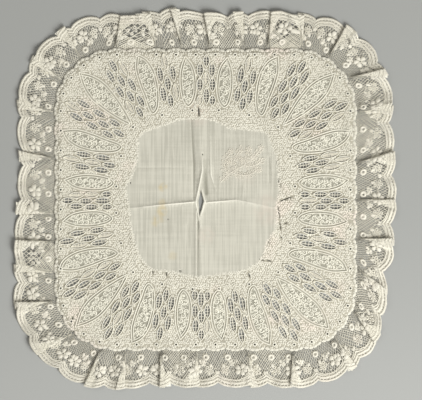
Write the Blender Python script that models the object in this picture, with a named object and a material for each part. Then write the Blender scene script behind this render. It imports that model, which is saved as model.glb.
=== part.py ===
# Lace handkerchief: one embroidered lawn cloth with a gathered lace frill sewn under its edge.
# Sizes are in millimetres and are turned to metres where the meshes are made.
import math
from collections import namedtuple

import bmesh
import bpy
import numpy as np
from mathutils import Vector
from mathutils.geometry import delaunay_2d_cdt

MM = 0.001

# The cloth
CLOTH_HALF = 151.0
CORNER_RADIUS = 62.0
CLOTH_THICKNESS = 1.1
SCALLOPS = 56
SCALLOP_DEPTH = 3.0
SCALLOP_ROUNDNESS = 0.7
SCALLOP_SHARES = (0.0, 0.22, 0.5, 0.78)

# The cloth lies flat, and its rim rises to lie on the heading of the frill
RIM_FLAT = 15.0
RIM_RISEN = 7.0
SEAM_GAP = 0.3

# The frill
FRILL_THICKNESS = 1.0
LAYER_GAP = 0.4
HEADING_UNDER = 5.5
HEADING_PAST = 1.0
PLEATS_FULL = 5.5
HEADING_PLEAT = 2.0
LACE_REPEAT = 33.0
LACE_SCALLOP_DEPTH = 3.6
LACE_SCALLOP_ROUNDNESS = 0.6
TURN = (FRILL_THICKNESS + LAYER_GAP) / 2
TURN_RUN = TURN * 1.5
FULL_RISE = TURN * 4

# Past a pleat the upper layer keeps its height up to a shoulder and then slopes down
SHOULDER = 2.5
SHOULDER_AT_HEADING = 2.4
SHOULDER_AT_PLEATS = 1.75
SLOPE_RUN = 14.0

# Columns of the frill between the pleats, and how far they keep from a shoulder
COLUMNS_PER_REPEAT = 3
COLUMN_GAP = 2.0

# Openwork spindles of the embroidered band
SPINDLE_WIDTH = 4.5
SPINDLE_SHOULDER = 0.42
HAND_SHIFT = 0.35
HAND_STRETCH = 0.05
SEED = 7

Row = namedtuple("Row", "out spread length")
MIDDLE_ROWS = (Row(18.5, 0, 11), Row(10, 5.7, 13.2), Row(0.5, 0, 12.5), Row(-5, 6.1, 13),
               Row(-16.5, 0, 16.5), Row(-20.5, 6.3, 9.5))
SECOND_ROWS = (Row(18, 0, 15), Row(6.5, 6.2, 16.5), Row(-3.5, 0, 14), Row(-13.3, 6.2, 15.5),
               Row(-21, 0, 13.5))
CORNER_ROWS = (Row(26, 0, 15), Row(18, 7.4, 16), Row(9, 0, 14.6), Row(0, 6.8, 15.5), Row(-9, 0, 14),
               Row(-18, 6.4, 13.5), Row(-26.8, 0, 13.5))

Group = namedtuple("Group", "along out lean rows")
MIDDLE_GROUP = Group(0, 120, 0, MIDDLE_ROWS)
SECOND_GROUP = Group(40, 118, 9, SECOND_ROWS)
CORNER_GROUP = Group(79.5, 112, 30, CORNER_ROWS)

# Each side has a middle group and two mirrored pairs; the hand-worked groups lie off their even places
GROUPS = ((MIDDLE_GROUP, 1), (SECOND_GROUP, 1), (SECOND_GROUP, -1), (CORNER_GROUP, 1), (CORNER_GROUP, -1))
GROUP_SHIFTS = (
    ((0.5, 0), (2.1, 1.6), (0.2, -1.2), (0, -0.8), (4.0, -2.1)),
    ((-0.2, -1.1), (1.1, -2.7), (-1.5, 0), (0.6, 0), (-4.7, -2.4)),
    ((-4.4, 3.6), (-7.0, 0.5), (-2.6, 2.0), (-4.6, -0.8), (-4.0, 1.2)),
    ((0.9, -1.3), (-2.5, 0.9), (1.4, -2.3), (-1.5, -1.0), (2.1, 0.4)),
)

# The worn opening where the two folds cross
TEAR = ((-4.5, 9.5), (-5.8, 4.0), (-7.0, -1.5), (-6.4, -8.0), (-6.1, -16.5), (-3.6, -8.0),
        (-1.9, -1.5), (-3.4, 4.0))

# Creases from folding in quarters: each is a soft ridge along a straight line
Crease = namedtuple("Crease", "x0 y0 x1 y1 height0 height1 reach")
CREASES = (
    Crease(-7.5, 140, -4.5, 11, 0.8, 2.4, 7),
    Crease(-5.8, -18, -8.0, -140, 2.4, 0.8, 7),
    Crease(-8.5, -2, -72, -8, 2.2, 1.4, 6),
    Crease(-72, -8, -140, -9, 1.4, 0.6, 6),
    Crease(0.0, -2, 36, -1, 2.2, 1.6, 6),
    Crease(36, -1, 140, -9, 1.6, 0.6, 6),
)
CREASE_STEP = 16.0
LAWN_STEP = 26.0
LAWN_RADIUS = 82.0
RIM_STEP = 12.0
CLEAR_OF_HOLE = 1.5
SAME_POINT = 1e-5

# Where the lace bends sharply its thickness is kept by a limited mitre
MITRE_LEAST = 0.5
MITRE_MOST = 1.15

LAWN_COLOUR = (0.66, 0.63, 0.55)
LAWN_ROUGHNESS = 0.85
LACE_COLOUR = (0.72, 0.69, 0.59)
LACE_ROUGHNESS = 0.8

# Width of the frill at places round the edge, measured clockwise from the middle of the far side
Reach = namedtuple("Reach", "place width")
REACHES = (
    Reach(0, 36), Reach(60, 38), Reach(92, 36), Reach(135, 39), Reach(190, 37), Reach(265, 40),
    Reach(330, 37.5), Reach(352, 31), Reach(372, 31), Reach(392, 34), Reach(410, 38), Reach(460, 37.5),
    Reach(530, 37), Reach(600, 37), Reach(670, 41), Reach(715, 42), Reach(790, 40), Reach(870, 36),
    Reach(905, 38), Reach(955, 38), Reach(1005, 36), Reach(1020, 33), Reach(1066, 41),
)

# Pleats: place of the foot at the heading, lean and lap at the outer edge, and which side lies over
Pleat = namedtuple("Pleat", "foot lean lap over")
PLEATS = (
    Pleat(4, -2, 6, 1), Pleat(38, -3, 4, -1), Pleat(62, 8, 7, 1), Pleat(97, -4, 5, -1),
    Pleat(124, 1, 6, 1), Pleat(153, 9, 6, 1), Pleat(188, -2, 8, -1), Pleat(238, -8, 5, 1),
    Pleat(275, 4, 6, 1), Pleat(314, 4, 6, 1), Pleat(344, 26, 9, 1), Pleat(388, 11, 8, -1),
    Pleat(419, 3, 6, 1), Pleat(464, -1, 5, -1), Pleat(508, -6, 6, 1), Pleat(559, 2, 7, 1),
    Pleat(596, -2, 4, -1), Pleat(630, 5, 6, 1), Pleat(656, 2, 5, -1), Pleat(688, 9, 8, 1),
    Pleat(725, 2, 6, -1), Pleat(753, 5, 6, 1), Pleat(785, -3, 6, -1), Pleat(812, 3, 6, 1),
    Pleat(868, 3, 7, -1), Pleat(914, 5, 8, 1), Pleat(947, 2, 7, 1), Pleat(976, 0, 6, -1),
    Pleat(1011, 10, 7, 1), Pleat(1053, -11, 7, -1), Pleat(1078, -9, 5, 1),
)

SIDES = 4
STRAIGHT = CLOTH_HALF - CORNER_RADIUS
ARC = CORNER_RADIUS * math.pi / 2
QUARTER = 2 * STRAIGHT + ARC
ROUND = SIDES * QUARTER


def edge_place(place):
    """Point and outward direction of the cloth's plain edge, clockwise from the far side's middle."""
    quarter, rest = divmod(place % ROUND, QUARTER)
    if rest < STRAIGHT:
        x, y, out_x, out_y = rest, CLOTH_HALF, 0.0, 1.0
    elif rest < STRAIGHT + ARC:
        turn = (rest - STRAIGHT) / CORNER_RADIUS
        out_x, out_y = math.sin(turn), math.cos(turn)
        x, y = STRAIGHT + CORNER_RADIUS * out_x, STRAIGHT + CORNER_RADIUS * out_y
    else:
        x, y, out_x, out_y = CLOTH_HALF, STRAIGHT - (rest - STRAIGHT - ARC), 1.0, 0.0
    for _ in range(int(quarter)):
        x, y, out_x, out_y = y, -x, out_y, -out_x
    return x, y, out_x, out_y


def edge_stretch(place, out):
    """How much longer a step along the edge is at a distance outside it: more only at a corner."""
    rest = place % QUARTER
    at_corner = STRAIGHT < rest < STRAIGHT + ARC
    return (CORNER_RADIUS + out) / CORNER_RADIUS if at_corner else 1.0


def inset(x, y):
    """Distance inside the plain edge."""
    over_x, over_y = abs(x) - STRAIGHT, abs(y) - STRAIGHT
    outside = math.hypot(max(over_x, 0), max(over_y, 0))
    return CORNER_RADIUS - outside - min(max(over_x, over_y), 0)


def smooth(share):
    share = min(max(share, 0.0), 1.0)
    return share * share * (3 - 2 * share)


def crease_height(x, y):
    """Height of the highest crease ridge at a point."""
    highest = 0.0
    for crease in CREASES:
        run_x, run_y = crease.x1 - crease.x0, crease.y1 - crease.y0
        share = ((x - crease.x0) * run_x + (y - crease.y0) * run_y) / (run_x**2 + run_y**2)
        share = min(max(share, 0.0), 1.0)
        off = math.hypot(x - crease.x0 - share * run_x, y - crease.y0 - share * run_y)
        top = crease.height0 + share * (crease.height1 - crease.height0)
        highest = max(highest, top * smooth(1 - off / crease.reach))
    return highest


def cloth_height(x, y):
    """Height of the cloth's underside: flat, with creases, and risen at the rim."""
    depth = inset(x, y)
    risen = smooth((RIM_FLAT - depth) / (RIM_FLAT - RIM_RISEN))
    seat = FRILL_THICKNESS + SEAM_GAP
    return risen * seat + (1 - risen) * crease_height(x, y)


def cloth_outline():
    """Scalloped edge, counter-clockwise."""
    points = []
    for number in range(SCALLOPS):
        for share in SCALLOP_SHARES:
            x, y, out_x, out_y = edge_place((number + share) * ROUND / SCALLOPS)
            bulge = SCALLOP_DEPTH * (math.sin(math.pi * share) ** SCALLOP_ROUNDNESS - 1)
            points.append((x + bulge * out_x, y + bulge * out_y))
    return points[::-1]


def spindle(x, y, lean, length, width):
    """Pointed oval about a centre, its length turned by the lean from straight out."""
    out_x, out_y = -math.sin(lean), math.cos(lean)
    shoulder = SPINDLE_SHOULDER * length / 2
    corners = ((length / 2, 0), (shoulder, 1), (-shoulder, 1), (-length / 2, 0), (-shoulder, -1),
               (shoulder, -1))
    outline = []
    for along, side in corners:
        across = side * width / 2
        outline.append((x + along * out_x - across * out_y, y + along * out_y + across * out_x))
    return outline


def group_spindles(group, side, rng):
    """Outline of each spindle in a group, mirrored to one side of the middle line."""
    lean = math.radians(group.lean)
    for row in group.rows:
        for spread in sorted({row.spread, -row.spread}):
            out = row.out + rng.uniform(-HAND_SHIFT, HAND_SHIFT)
            across = spread + rng.uniform(-HAND_SHIFT, HAND_SHIFT)
            x = -group.along - out * math.sin(lean) + across * math.cos(lean)
            y = group.out + out * math.cos(lean) + across * math.sin(lean)
            size = 1 + rng.uniform(-HAND_STRETCH, HAND_STRETCH)
            yield spindle(side * x, y, side * lean, row.length * size, SPINDLE_WIDTH * size)


def spindles():
    """Outlines of all the openwork spindles, round the four sides."""
    rng = np.random.default_rng(SEED)
    outlines = []
    for turn, shifts in enumerate(GROUP_SHIFTS):
        for (group, side), (shift_x, shift_y) in zip(GROUPS, shifts):
            for outline in group_spindles(group, side, rng):
                for _ in range(turn):
                    outline = [(v, -u) for u, v in outline]
                outlines.append([(u + shift_x, v + shift_y) for u, v in outline])
    return outlines


def inside(x, y, outline):
    """Whether a point lies inside a closed outline."""
    within = False
    for (x0, y0), (x1, y1) in zip(outline, outline[1:] + outline[:1]):
        if (y0 > y) != (y1 > y) and x < x0 + (y - y0) * (x1 - x0) / (y1 - y0):
            within = not within
    return within


def clear_of(x, y, outline, gap):
    """Whether a point is outside an outline and at least a gap away from it."""
    if inside(x, y, outline):
        return False
    for (x0, y0), (x1, y1) in zip(outline, outline[1:] + outline[:1]):
        run = (x1 - x0) ** 2 + (y1 - y0) ** 2
        share = min(max(((x - x0) * (x1 - x0) + (y - y0) * (y1 - y0)) / run, 0), 1)
        if math.hypot(x - x0 - share * (x1 - x0), y - y0 - share * (y1 - y0)) < gap:
            return False
    return True


def inner_points(holes):
    """Points inside the cloth where its height changes, clear of the holes."""
    points = []
    count = round(ROUND / RIM_STEP)
    for depth in (RIM_FLAT, (RIM_FLAT + RIM_RISEN) / 2, RIM_RISEN):
        for number in range(count):
            x, y, out_x, out_y = edge_place(number * ROUND / count)
            points.append((x - depth * out_x, y - depth * out_y))
    for crease in CREASES:
        run_x, run_y = crease.x1 - crease.x0, crease.y1 - crease.y0
        length = math.hypot(run_x, run_y)
        steps = max(2, round(length / CREASE_STEP))
        for step in range(steps):
            along = (step + 0.5) / steps
            for off in (-crease.reach, 0, crease.reach):
                x = crease.x0 + along * run_x - off * run_y / length
                y = crease.y0 + along * run_y + off * run_x / length
                points.append((x, y))
    count = int(LAWN_RADIUS / LAWN_STEP)
    for column in range(-count, count + 1):
        for line in range(-count, count + 1):
            x, y = column * LAWN_STEP, line * LAWN_STEP
            if math.hypot(x, y) < LAWN_RADIUS and crease_height(x, y) == 0:
                points.append((x, y))
    return [p for p in points if all(clear_of(*p, hole, CLEAR_OF_HOLE) for hole in holes)]


def sheet_mesh(top, bottom, faces):
    """Closed solid between two like layers of points, with walls along the open edges."""
    mesh = bmesh.new()
    upper = [mesh.verts.new(Vector(p) * MM) for p in top]
    lower = [mesh.verts.new(Vector(p) * MM) for p in bottom]
    uses = {}
    for face in faces:
        mesh.faces.new([upper[i] for i in face])
        mesh.faces.new([lower[i] for i in reversed(face)])
        for start, end in zip(face, face[1:] + face[:1]):
            uses[(start, end)] = True
    for start, end in uses:
        if (end, start) not in uses:
            mesh.faces.new((upper[end], upper[start], lower[start], lower[end]))
    return mesh


def make_object(name, mesh, material):
    data = bpy.data.meshes.new(name)
    bmesh.ops.triangulate(mesh, faces=mesh.faces)
    mesh.to_mesh(data)
    mesh.free()
    data.materials.append(material)
    made = bpy.data.objects.new(name, data)
    bpy.context.scene.collection.objects.link(made)
    return made


def make_material(name, colour, roughness):
    material = bpy.data.materials.new(name)
    material.use_nodes = True
    shader = material.node_tree.nodes["Principled BSDF"]
    shader.inputs["Base Color"].default_value = (*colour, 1)
    shader.inputs["Roughness"].default_value = roughness
    shader.inputs["Metallic"].default_value = 0
    return material


def make_lawn():
    """The embroidered lawn cloth, cut through at its spindles and at the worn opening."""
    outline = cloth_outline()
    holes = spindles() + [list(TEAR)]
    points = []
    edges = []
    for loop in [outline] + holes:
        first = len(points)
        points += loop
        edges += [(first + i, first + (i + 1) % len(loop)) for i in range(len(loop))]
    points += inner_points(holes)
    flat = [Vector(p) for p in points]
    corners, _, faces, _, _, _ = delaunay_2d_cdt(flat, edges, [], 1, SAME_POINT)
    kept = []
    for face in faces:
        x = sum(corners[i].x for i in face) / 3
        y = sum(corners[i].y for i in face) / 3
        if not any(inside(x, y, hole) for hole in holes):
            kept.append(tuple(face))
    bottom = [(p.x, p.y, cloth_height(p.x, p.y)) for p in corners]
    top = [(x, y, z + CLOTH_THICKNESS) for x, y, z in bottom]
    material = make_material("lawn", LAWN_COLOUR, LAWN_ROUGHNESS)
    return make_object("lawn", sheet_mesh(top, bottom, kept), material)


def frill_width(place):
    """Width of the frill at a place round the edge, eased between the measured places."""
    place %= ROUND
    rows = REACHES + (Reach(REACHES[0].place + ROUND, REACHES[0].width),)
    for before, after in zip(rows, rows[1:]):
        if before.place <= place <= after.place:
            share = smooth((place - before.place) / (after.place - before.place))
            return before.width + share * (after.width - before.width)
    return rows[0].width


Column = namedtuple("Column", "head foot edge shift_mid rise_mid shift_edge rise_edge lace")


def pleat_columns(pleat, lace):
    """Six columns of one pleat: forward, back under or over itself, and forward again.

    A column holds its place at the heading and the line that it follows from there, then its
    shift and rise where the pleat stands full but doesn't lap yet, and at the outer edge.
    """
    half = pleat.lap / 2
    level = FULL_RISE / 2
    shifts = (half, half + TURN, half, -half, -half - TURN, -half)
    rises = [0, TURN, level, level, level + TURN, FULL_RISE]
    if pleat.over < 0:
        rises = rises[::-1]
    columns = []
    edge = pleat.foot + pleat.lean
    steps = (0, TURN_RUN, TURN_RUN, pleat.lap, TURN_RUN, TURN_RUN)
    last = len(steps) - 1
    for number, (shift, rise, step) in enumerate(zip(shifts, rises, steps)):
        lace += step
        spread = HEADING_PLEAT * (2 * number - last) / len(steps)
        mid_rise = FULL_RISE * number / last
        if pleat.over < 0:
            mid_rise = FULL_RISE - mid_rise
        columns.append(Column(pleat.foot + spread, pleat.foot, edge, 0,
                              mid_rise, shift, rise, lace))
    return columns, lace


def shoulder_column(pleat, lace, side):
    """Column that carries the upper layer past the fold before it comes down."""
    shift = side * (pleat.lap / 2 + SHOULDER)
    return Column(pleat.foot + side * SHOULDER_AT_HEADING, pleat.foot, pleat.foot + pleat.lean,
                  side * SHOULDER_AT_PLEATS, FULL_RISE, shift, FULL_RISE, lace)


def slope(distance):
    """Share of the full height at a distance past a pleat's shoulder."""
    return 1 - smooth(distance / SLOPE_RUN)


def gap_columns(before, after, lace, pitch):
    """Columns of the lace between two pleats, at its scallops' cusps and crowns."""
    turn = ROUND if after.foot < before.foot else 0
    edge0, edge1 = before.foot + before.lean, after.foot + after.lean + turn
    head0 = before.foot + SHOULDER_AT_HEADING
    head1 = after.foot + turn - SHOULDER_AT_HEADING
    width = (frill_width(edge0) + frill_width(edge1)) / 2
    stretch = edge_stretch((edge0 + edge1) / 2, width)
    length = (edge1 - edge0) * stretch
    shift0 = before.lap / 2 + SHOULDER
    shift1 = after.lap / 2 + SHOULDER
    start, end = -before.lap / 2, length + after.lap / 2
    columns = []
    if before.over > 0:
        columns.append(shoulder_column(before, lace + shift0 - start, 1))
    step = pitch / COLUMNS_PER_REPEAT
    number = math.ceil((lace + shift0 - start + COLUMN_GAP) / step)
    while True:
        at = number * step - lace + start
        if at > length - shift1 - COLUMN_GAP:
            break
        share = at / length
        rise = 0
        if before.over > 0:
            rise = max(rise, FULL_RISE * slope(at - shift0))
        if after.over < 0:
            rise = max(rise, FULL_RISE * slope(length - shift1 - at))
        head_share = (at - shift0) / (length - shift0 - shift1)
        head = head0 + head_share * (head1 - head0)
        columns.append(Column(head, head, edge0 + share * (edge1 - edge0), 0, rise, 0, rise,
                              number * step))
        number += 1
    if after.over < 0:
        columns.append(shoulder_column(after, lace + length - shift1 - start, -1))
    return columns, lace + end - start


def lace_columns(pitch):
    """All columns round the frill, and the whole length of lace at its outer edge."""
    columns = []
    lace = 0.0
    for number, pleat in enumerate(PLEATS):
        made, lace = pleat_columns(pleat, lace)
        columns += made
        after = PLEATS[(number + 1) % len(PLEATS)]
        made, lace = gap_columns(pleat, after, lace, pitch)
        columns += made
    return columns, lace


def frill_rows(columns, pitch):
    """Middle surface of the lace as rows of points, from the heading to the outer edge."""
    rows = [[], [], [], []]
    for column in columns:
        width = frill_width(column.edge)
        crown = abs(math.sin(math.pi * column.lace / pitch)) ** LACE_SCALLOP_ROUNDNESS
        outer = width + LACE_SCALLOP_DEPTH * (crown - 1)
        stages = (
            (column.head, -HEADING_UNDER, 0, 0), (column.head, HEADING_PAST, 0, 0),
            (column.foot, PLEATS_FULL, column.shift_mid, column.rise_mid),
            (column.foot, outer, column.shift_edge, column.rise_edge),
        )
        for row, (start, out, shift, rise) in zip(rows, stages):
            share = max(0, (out - HEADING_PAST) / (width - HEADING_PAST))
            place = start + share * (column.edge - start)
            x, y, out_x, out_y = edge_place(place)
            row.append((x + out * out_x + shift * out_y, y + out * out_y - shift * out_x,
                        FRILL_THICKNESS / 2 + rise, out_x, out_y))
    return rows


def thicken(row, before, after):
    """Half thickness of the sheet at a point of a row, square to the row's run."""
    out = Vector((row[3], row[4], 0))
    middle = Vector(row[:3])
    ups = []
    for start, end in ((Vector(before[:3]), middle), (middle, Vector(after[:3]))):
        run = end - start
        run -= run.dot(out) * out
        ups.append(out.cross(run).normalized() * -1)
    up = ups[0] + ups[1]
    up.normalize()
    stretch = min(1 / max(up.dot(ups[0]), MITRE_LEAST), MITRE_MOST)
    return up * FRILL_THICKNESS / 2 * stretch


def split_quad(corners, middles):
    """Two triangles of a four-sided face, parted along its shorter diagonal."""
    a, b, c, d = corners
    if (middles[a] - middles[c]).length < (middles[b] - middles[d]).length:
        return [(a, b, c), (a, c, d)]
    return [(a, b, d), (b, c, d)]


def make_frill():
    """The gathered lace, laid in knife pleats round the cloth."""
    _, length = lace_columns(LACE_REPEAT)
    pitch = length / round(length / LACE_REPEAT)
    columns, _ = lace_columns(pitch)
    rows = frill_rows(columns, pitch)
    count = len(columns)
    middles = [Vector(point[:3]) for row in rows for point in row]
    halves = [thicken(row[i], row[i - 1], row[(i + 1) % count]) for row in rows for i in range(count)]
    top = [middle + half for middle, half in zip(middles, halves)]
    bottom = [middle - half for middle, half in zip(middles, halves)]
    for point in bottom:
        point.z = max(point.z, 0)
    faces = []
    for line in range(len(rows) - 1):
        for i in range(count):
            following = (i + 1) % count
            inner, outer = line * count, (line + 1) * count
            corners = (inner + i, inner + following, outer + following, outer + i)
            faces += split_quad(corners, middles)
    material = make_material("lace", LACE_COLOUR, LACE_ROUGHNESS)
    return make_object("frill", sheet_mesh(top, bottom, faces), material)


def centre(pieces):
    """Moves the pieces together so that the middle of their box is over the origin."""
    corners = np.array([v.co for piece in pieces for v in piece.data.vertices])
    middle = (corners.min(axis=0) + corners.max(axis=0)) / 2
    for piece in pieces:
        piece.location = (-middle[0], -middle[1], 0)


def main():
    for old in list(bpy.data.objects):
        bpy.data.objects.remove(old)
    centre([make_lawn(), make_frill()])


main()
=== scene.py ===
import math
from collections import namedtuple

import bpy
import numpy as np
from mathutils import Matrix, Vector
from mathutils.geometry import delaunay_2d_cdt


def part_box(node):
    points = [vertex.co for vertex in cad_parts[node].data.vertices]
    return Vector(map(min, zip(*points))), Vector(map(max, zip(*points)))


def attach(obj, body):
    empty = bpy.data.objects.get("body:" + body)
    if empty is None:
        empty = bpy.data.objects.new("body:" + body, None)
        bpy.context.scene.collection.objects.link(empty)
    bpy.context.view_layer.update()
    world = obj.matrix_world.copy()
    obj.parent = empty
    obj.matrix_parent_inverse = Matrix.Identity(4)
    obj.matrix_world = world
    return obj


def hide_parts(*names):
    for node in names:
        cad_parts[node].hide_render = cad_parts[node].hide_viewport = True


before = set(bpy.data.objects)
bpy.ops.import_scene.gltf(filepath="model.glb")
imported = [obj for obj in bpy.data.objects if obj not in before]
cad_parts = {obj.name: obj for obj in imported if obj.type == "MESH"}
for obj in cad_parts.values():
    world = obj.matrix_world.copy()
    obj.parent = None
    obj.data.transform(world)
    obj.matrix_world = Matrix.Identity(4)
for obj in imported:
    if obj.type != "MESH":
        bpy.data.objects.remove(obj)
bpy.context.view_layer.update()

MM = 0.001
SEED = 7

# The cloth, as in the solids
CLOTH_HALF = 151.0
CORNER_RADIUS = 62.0
SCALLOPS = 56
SCALLOP_DEPTH = 3.0
SMALL_SCALLOPS = 4
SMALL_SCALLOP_DEPTH = 0.9
RIM_FLAT = 15.0
RIM_RISEN = 7.0
SEAT_HEIGHT = 0.65
CLOTH_TOP = 1.4
CLOTH_THICKNESS = 1.1
EDGE_DROP = 0.85
EDGE_DROP_RUN = 3
FLOOR_GAP = 0.1
LOWEST = 0.02

STRAIGHT = CLOTH_HALF - CORNER_RADIUS
ARC = CORNER_RADIUS * math.pi / 2
QUARTER = 2 * STRAIGHT + ARC
ROUND = 4 * QUARTER

# Edge of the plain middle of the cloth, clockwise from its left side
MIDDLE_EDGE = ((-80, 11.5), (-74.5, 22.5), (-69, 39.5), (-68, 55), (-64, 66), (-52, 71), (-37.5, 76),
               (-26, 80.5), (-10.5, 81), (7, 79.5), (26, 71.5), (46, 70), (60.5, 67), (66, 54.5),
               (71, 41.5), (74, 11.5), (71, -5.5), (72, -16), (69.5, -30.5), (62, -42), (56, -58),
               (45, -68), (29.5, -72.5), (14.5, -74.5), (-2.5, -77.5), (-20.5, -75.5), (-37.5, -71.5),
               (-52.5, -70), (-65, -58), (-71, -42), (-74.5, -25.5), (-77, -8))

# The frill, as in the solids
HEADING_UNDER = 5.5
HEADING_PAST = 1.0
PLEATS_FULL = 5.5
HEADING_PLEAT = 2.0
LACE_REPEAT = 33.0
LACE_SCALLOP_DEPTH = 5.4
SHOULDER = 2.5
SLOPE_RUN = 14.0
TURN = 0.7
LACE_HEIGHT = 0.5

# Openwork spindles
SPINDLE_WIDTH = 4.5
HAND_SHIFT = 0.35
HAND_STRETCH = 0.05

Row = namedtuple("Row", "out spread length")
MIDDLE_ROWS = (Row(18.5, 0, 11), Row(10, 5.7, 13.2), Row(0.5, 0, 12.5), Row(-5, 6.1, 13),
               Row(-16.5, 0, 16.5), Row(-20.5, 6.3, 9.5))
SECOND_ROWS = (Row(18, 0, 15), Row(6.5, 6.2, 16.5), Row(-3.5, 0, 14), Row(-13.3, 6.2, 15.5),
               Row(-21, 0, 13.5))
CORNER_ROWS = (Row(26, 0, 15), Row(18, 7.4, 16), Row(9, 0, 14.6), Row(0, 6.8, 15.5), Row(-9, 0, 14),
               Row(-18, 6.4, 13.5), Row(-26.8, 0, 13.5))
Group = namedtuple("Group", "along out lean rows")
MIDDLE_GROUP = Group(0, 120, 0, MIDDLE_ROWS)
SECOND_GROUP = Group(40, 118, 9, SECOND_ROWS)
CORNER_GROUP = Group(79.5, 112, 30, CORNER_ROWS)

# Each side has a middle group and two mirrored pairs; the hand-worked groups lie off their even places
GROUPS = ((MIDDLE_GROUP, 1), (SECOND_GROUP, 1), (SECOND_GROUP, -1), (CORNER_GROUP, 1), (CORNER_GROUP, -1))
GROUP_SHIFTS = np.array((
    ((0.5, 0), (2.1, 1.6), (0.2, -1.2), (0, -0.8), (4.0, -2.1)),
    ((-0.2, -1.1), (1.1, -2.7), (-1.5, 0), (0.6, 0), (-4.7, -2.4)),
    ((-4.4, 3.6), (-7.0, 0.5), (-2.6, 2.0), (-4.6, -0.8), (-4.0, 1.2)),
    ((0.9, -1.3), (-2.5, 0.9), (1.4, -2.3), (-1.5, -1.0), (2.1, 0.4)),
))

TEAR = ((-4.7, 9.5), (-5.8, 4.0), (-7.0, -1.5), (-6.4, -8.0), (-6.1, -16.5), (-3.6, -8.0),
        (-1.9, -1.5), (-3.4, 4.0))

# Broken stitches and small worn slits: two ends and a width
Slit = namedtuple("Slit", "x0 y0 x1 y1 width")
SLITS = (
    Slit(-7.0, 93, -6.6, 82, 1.5), Slit(73, -2, 88, 3.5, 1.1), Slit(72, -6, 74, -20, 1.2),
    Slit(74, -22, 75, -31, 0.9), Slit(-132, -116, -135, -125, 1.2), Slit(20, -127, 17, -141, 1.0),
    Slit(43, -73, 44, -78, 1.3), Slit(-37.8, -19, -37.2, -20.2, 1.1), Slit(70.5, 41, 72.3, 30, 1.0),
    Slit(72.0, 27, 74.3, 9, 0.9), Slit(62, -41, 64, -43.5, 0.9), Slit(53, -59, 59, -61, 1.0),
    Slit(61, -60, 66, -62, 0.9), Slit(75, -36.5, 76.5, -39, 1.0), Slit(78.5, -24, 82, -23, 0.9),
    Slit(-27, -71, -23.5, -71.6, 1.0), Slit(-75.3, 18, -74.8, 15.5, 0.9), Slit(-80, 0.5, -77, -0.8, 0.9),
    Slit(-3.2, 46, -2.8, 44, 0.8), Slit(-53, -70, -52.4, -75, 0.8), Slit(-39.5, -71, -39, -77, 0.9),
)

EYELET_RADIUS = 0.95
EDGE_EYELET_INSET = 6.3

# Creases: ridges stand up, grooves sink. Ends, height at each end, and how far they reach
SWELL = 0.32
Crease = namedtuple("Crease", "x0 y0 x1 y1 height0 height1 reach")
CREASES = (
    Crease(-7.5, 140, -4.5, 11, 0.8, 2.4, 7),
    Crease(-5.8, -18, -8.0, -140, 2.4, 0.8, 7),
    Crease(-8.5, -2, -72, -8, 2.2, 1.4, 6),
    Crease(-72, -8, -140, -9, 1.4, 0.6, 6),
    Crease(0.0, -2, 36, -1, 2.2, 1.6, 6),
    Crease(36, -1, 140, -9, 1.6, 0.6, 6),
)
FINE_CREASES = (
    Crease(-100, -9.5, -71.5, -8.5, 0.2, 0.5, 1.7), Crease(-71.5, -8.5, -45, -5.6, 0.5, 0.9, 1.7),
    Crease(-45, -5.6, -12, -2.6, 0.9, 1.2, 1.7), Crease(-2, -3.5, 30.5, -0.6, 1.1, 0.8, 1.7),
    Crease(30.5, -0.6, 71.5, -8.5, 0.7, 0.35, 1.9), Crease(-3.5, 46, -3.0, 29.5, 0.3, 1.3, 1.7),
    Crease(-3.0, 29.5, -7.4, 8, 1.3, 1.2, 1.7), Crease(-7.4, 8, -9.6, -3, 1.2, 1.1, 1.7),
    Crease(4.5, 62, 5.5, 25, 0.25, 0.9, 1.6), Crease(5.5, 25, 10.3, 9, 0.9, 0.4, 1.7),
    Crease(-1.0, 40, 0.8, 6, -0.4, -1.0, 4.6), Crease(-14.0, 80, -11.7, 34, -0.6, -0.8, 1.8),
    Crease(-11.7, 34, -11.8, 2, -0.8, -0.5, 1.8), Crease(-9.6, -3, -6.8, -17, 1.1, 0.9, 1.6),
    Crease(-6.8, -17, -5.2, -28, 0.9, 0.3, 1.6), Crease(-7.4, -22, -8.0, -76, -0.9, -0.6, 1.5),
    Crease(-9.4, -12, -9.9, -76, 0.8, 0.5, 1.6), Crease(-3.4, 10, -0.7, -1.5, 0.8, 1.3, 1.7),
    Crease(-0.7, -1.5, -2.6, -9, 1.3, 1.2, 1.7), Crease(-2.6, -9, -5.0, -18, 1.2, 0.7, 1.7),
    Crease(-5.0, -18, -4.6, -28, 0.7, 0.2, 1.7),
    Crease(-67, 31.5, -22, 31.8, -0.35, -0.15, 1.8), Crease(-83, -33, -62, -31.5, -0.35, -0.2, 1.8),
    Crease(63.5, 42, 63.8, 17, -0.45, -0.35, 1.8), Crease(-75, -20, -74, -50, 0.4, 0.3, 1.8),
    Crease(-69, -36, -69.5, -68, 0.35, 0.3, 1.8), Crease(61, 60, 66, 30, 0.4, 0.3, 2.0),
    Crease(-38, -24, -37, -60, -0.25, -0.15, 1.8), Crease(-18, -26, -18.5, -46, -0.3, -0.15, 1.8),
    Crease(38, 14, 36.5, 2, 0.3, 0.2, 1.8), Crease(68, -22, 66, -44, 0.35, 0.25, 2.0),
    Crease(-33, 60, -31, 42, -0.25, -0.15, 1.8), Crease(-60, 64, -58, 36, 0.25, 0.15, 2.0),
    Crease(20, -38, 58, -46, 0.2, 0.3, 5.0), Crease(18, 66, 60, 62, 0.2, 0.3, 4.0),
)

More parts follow.
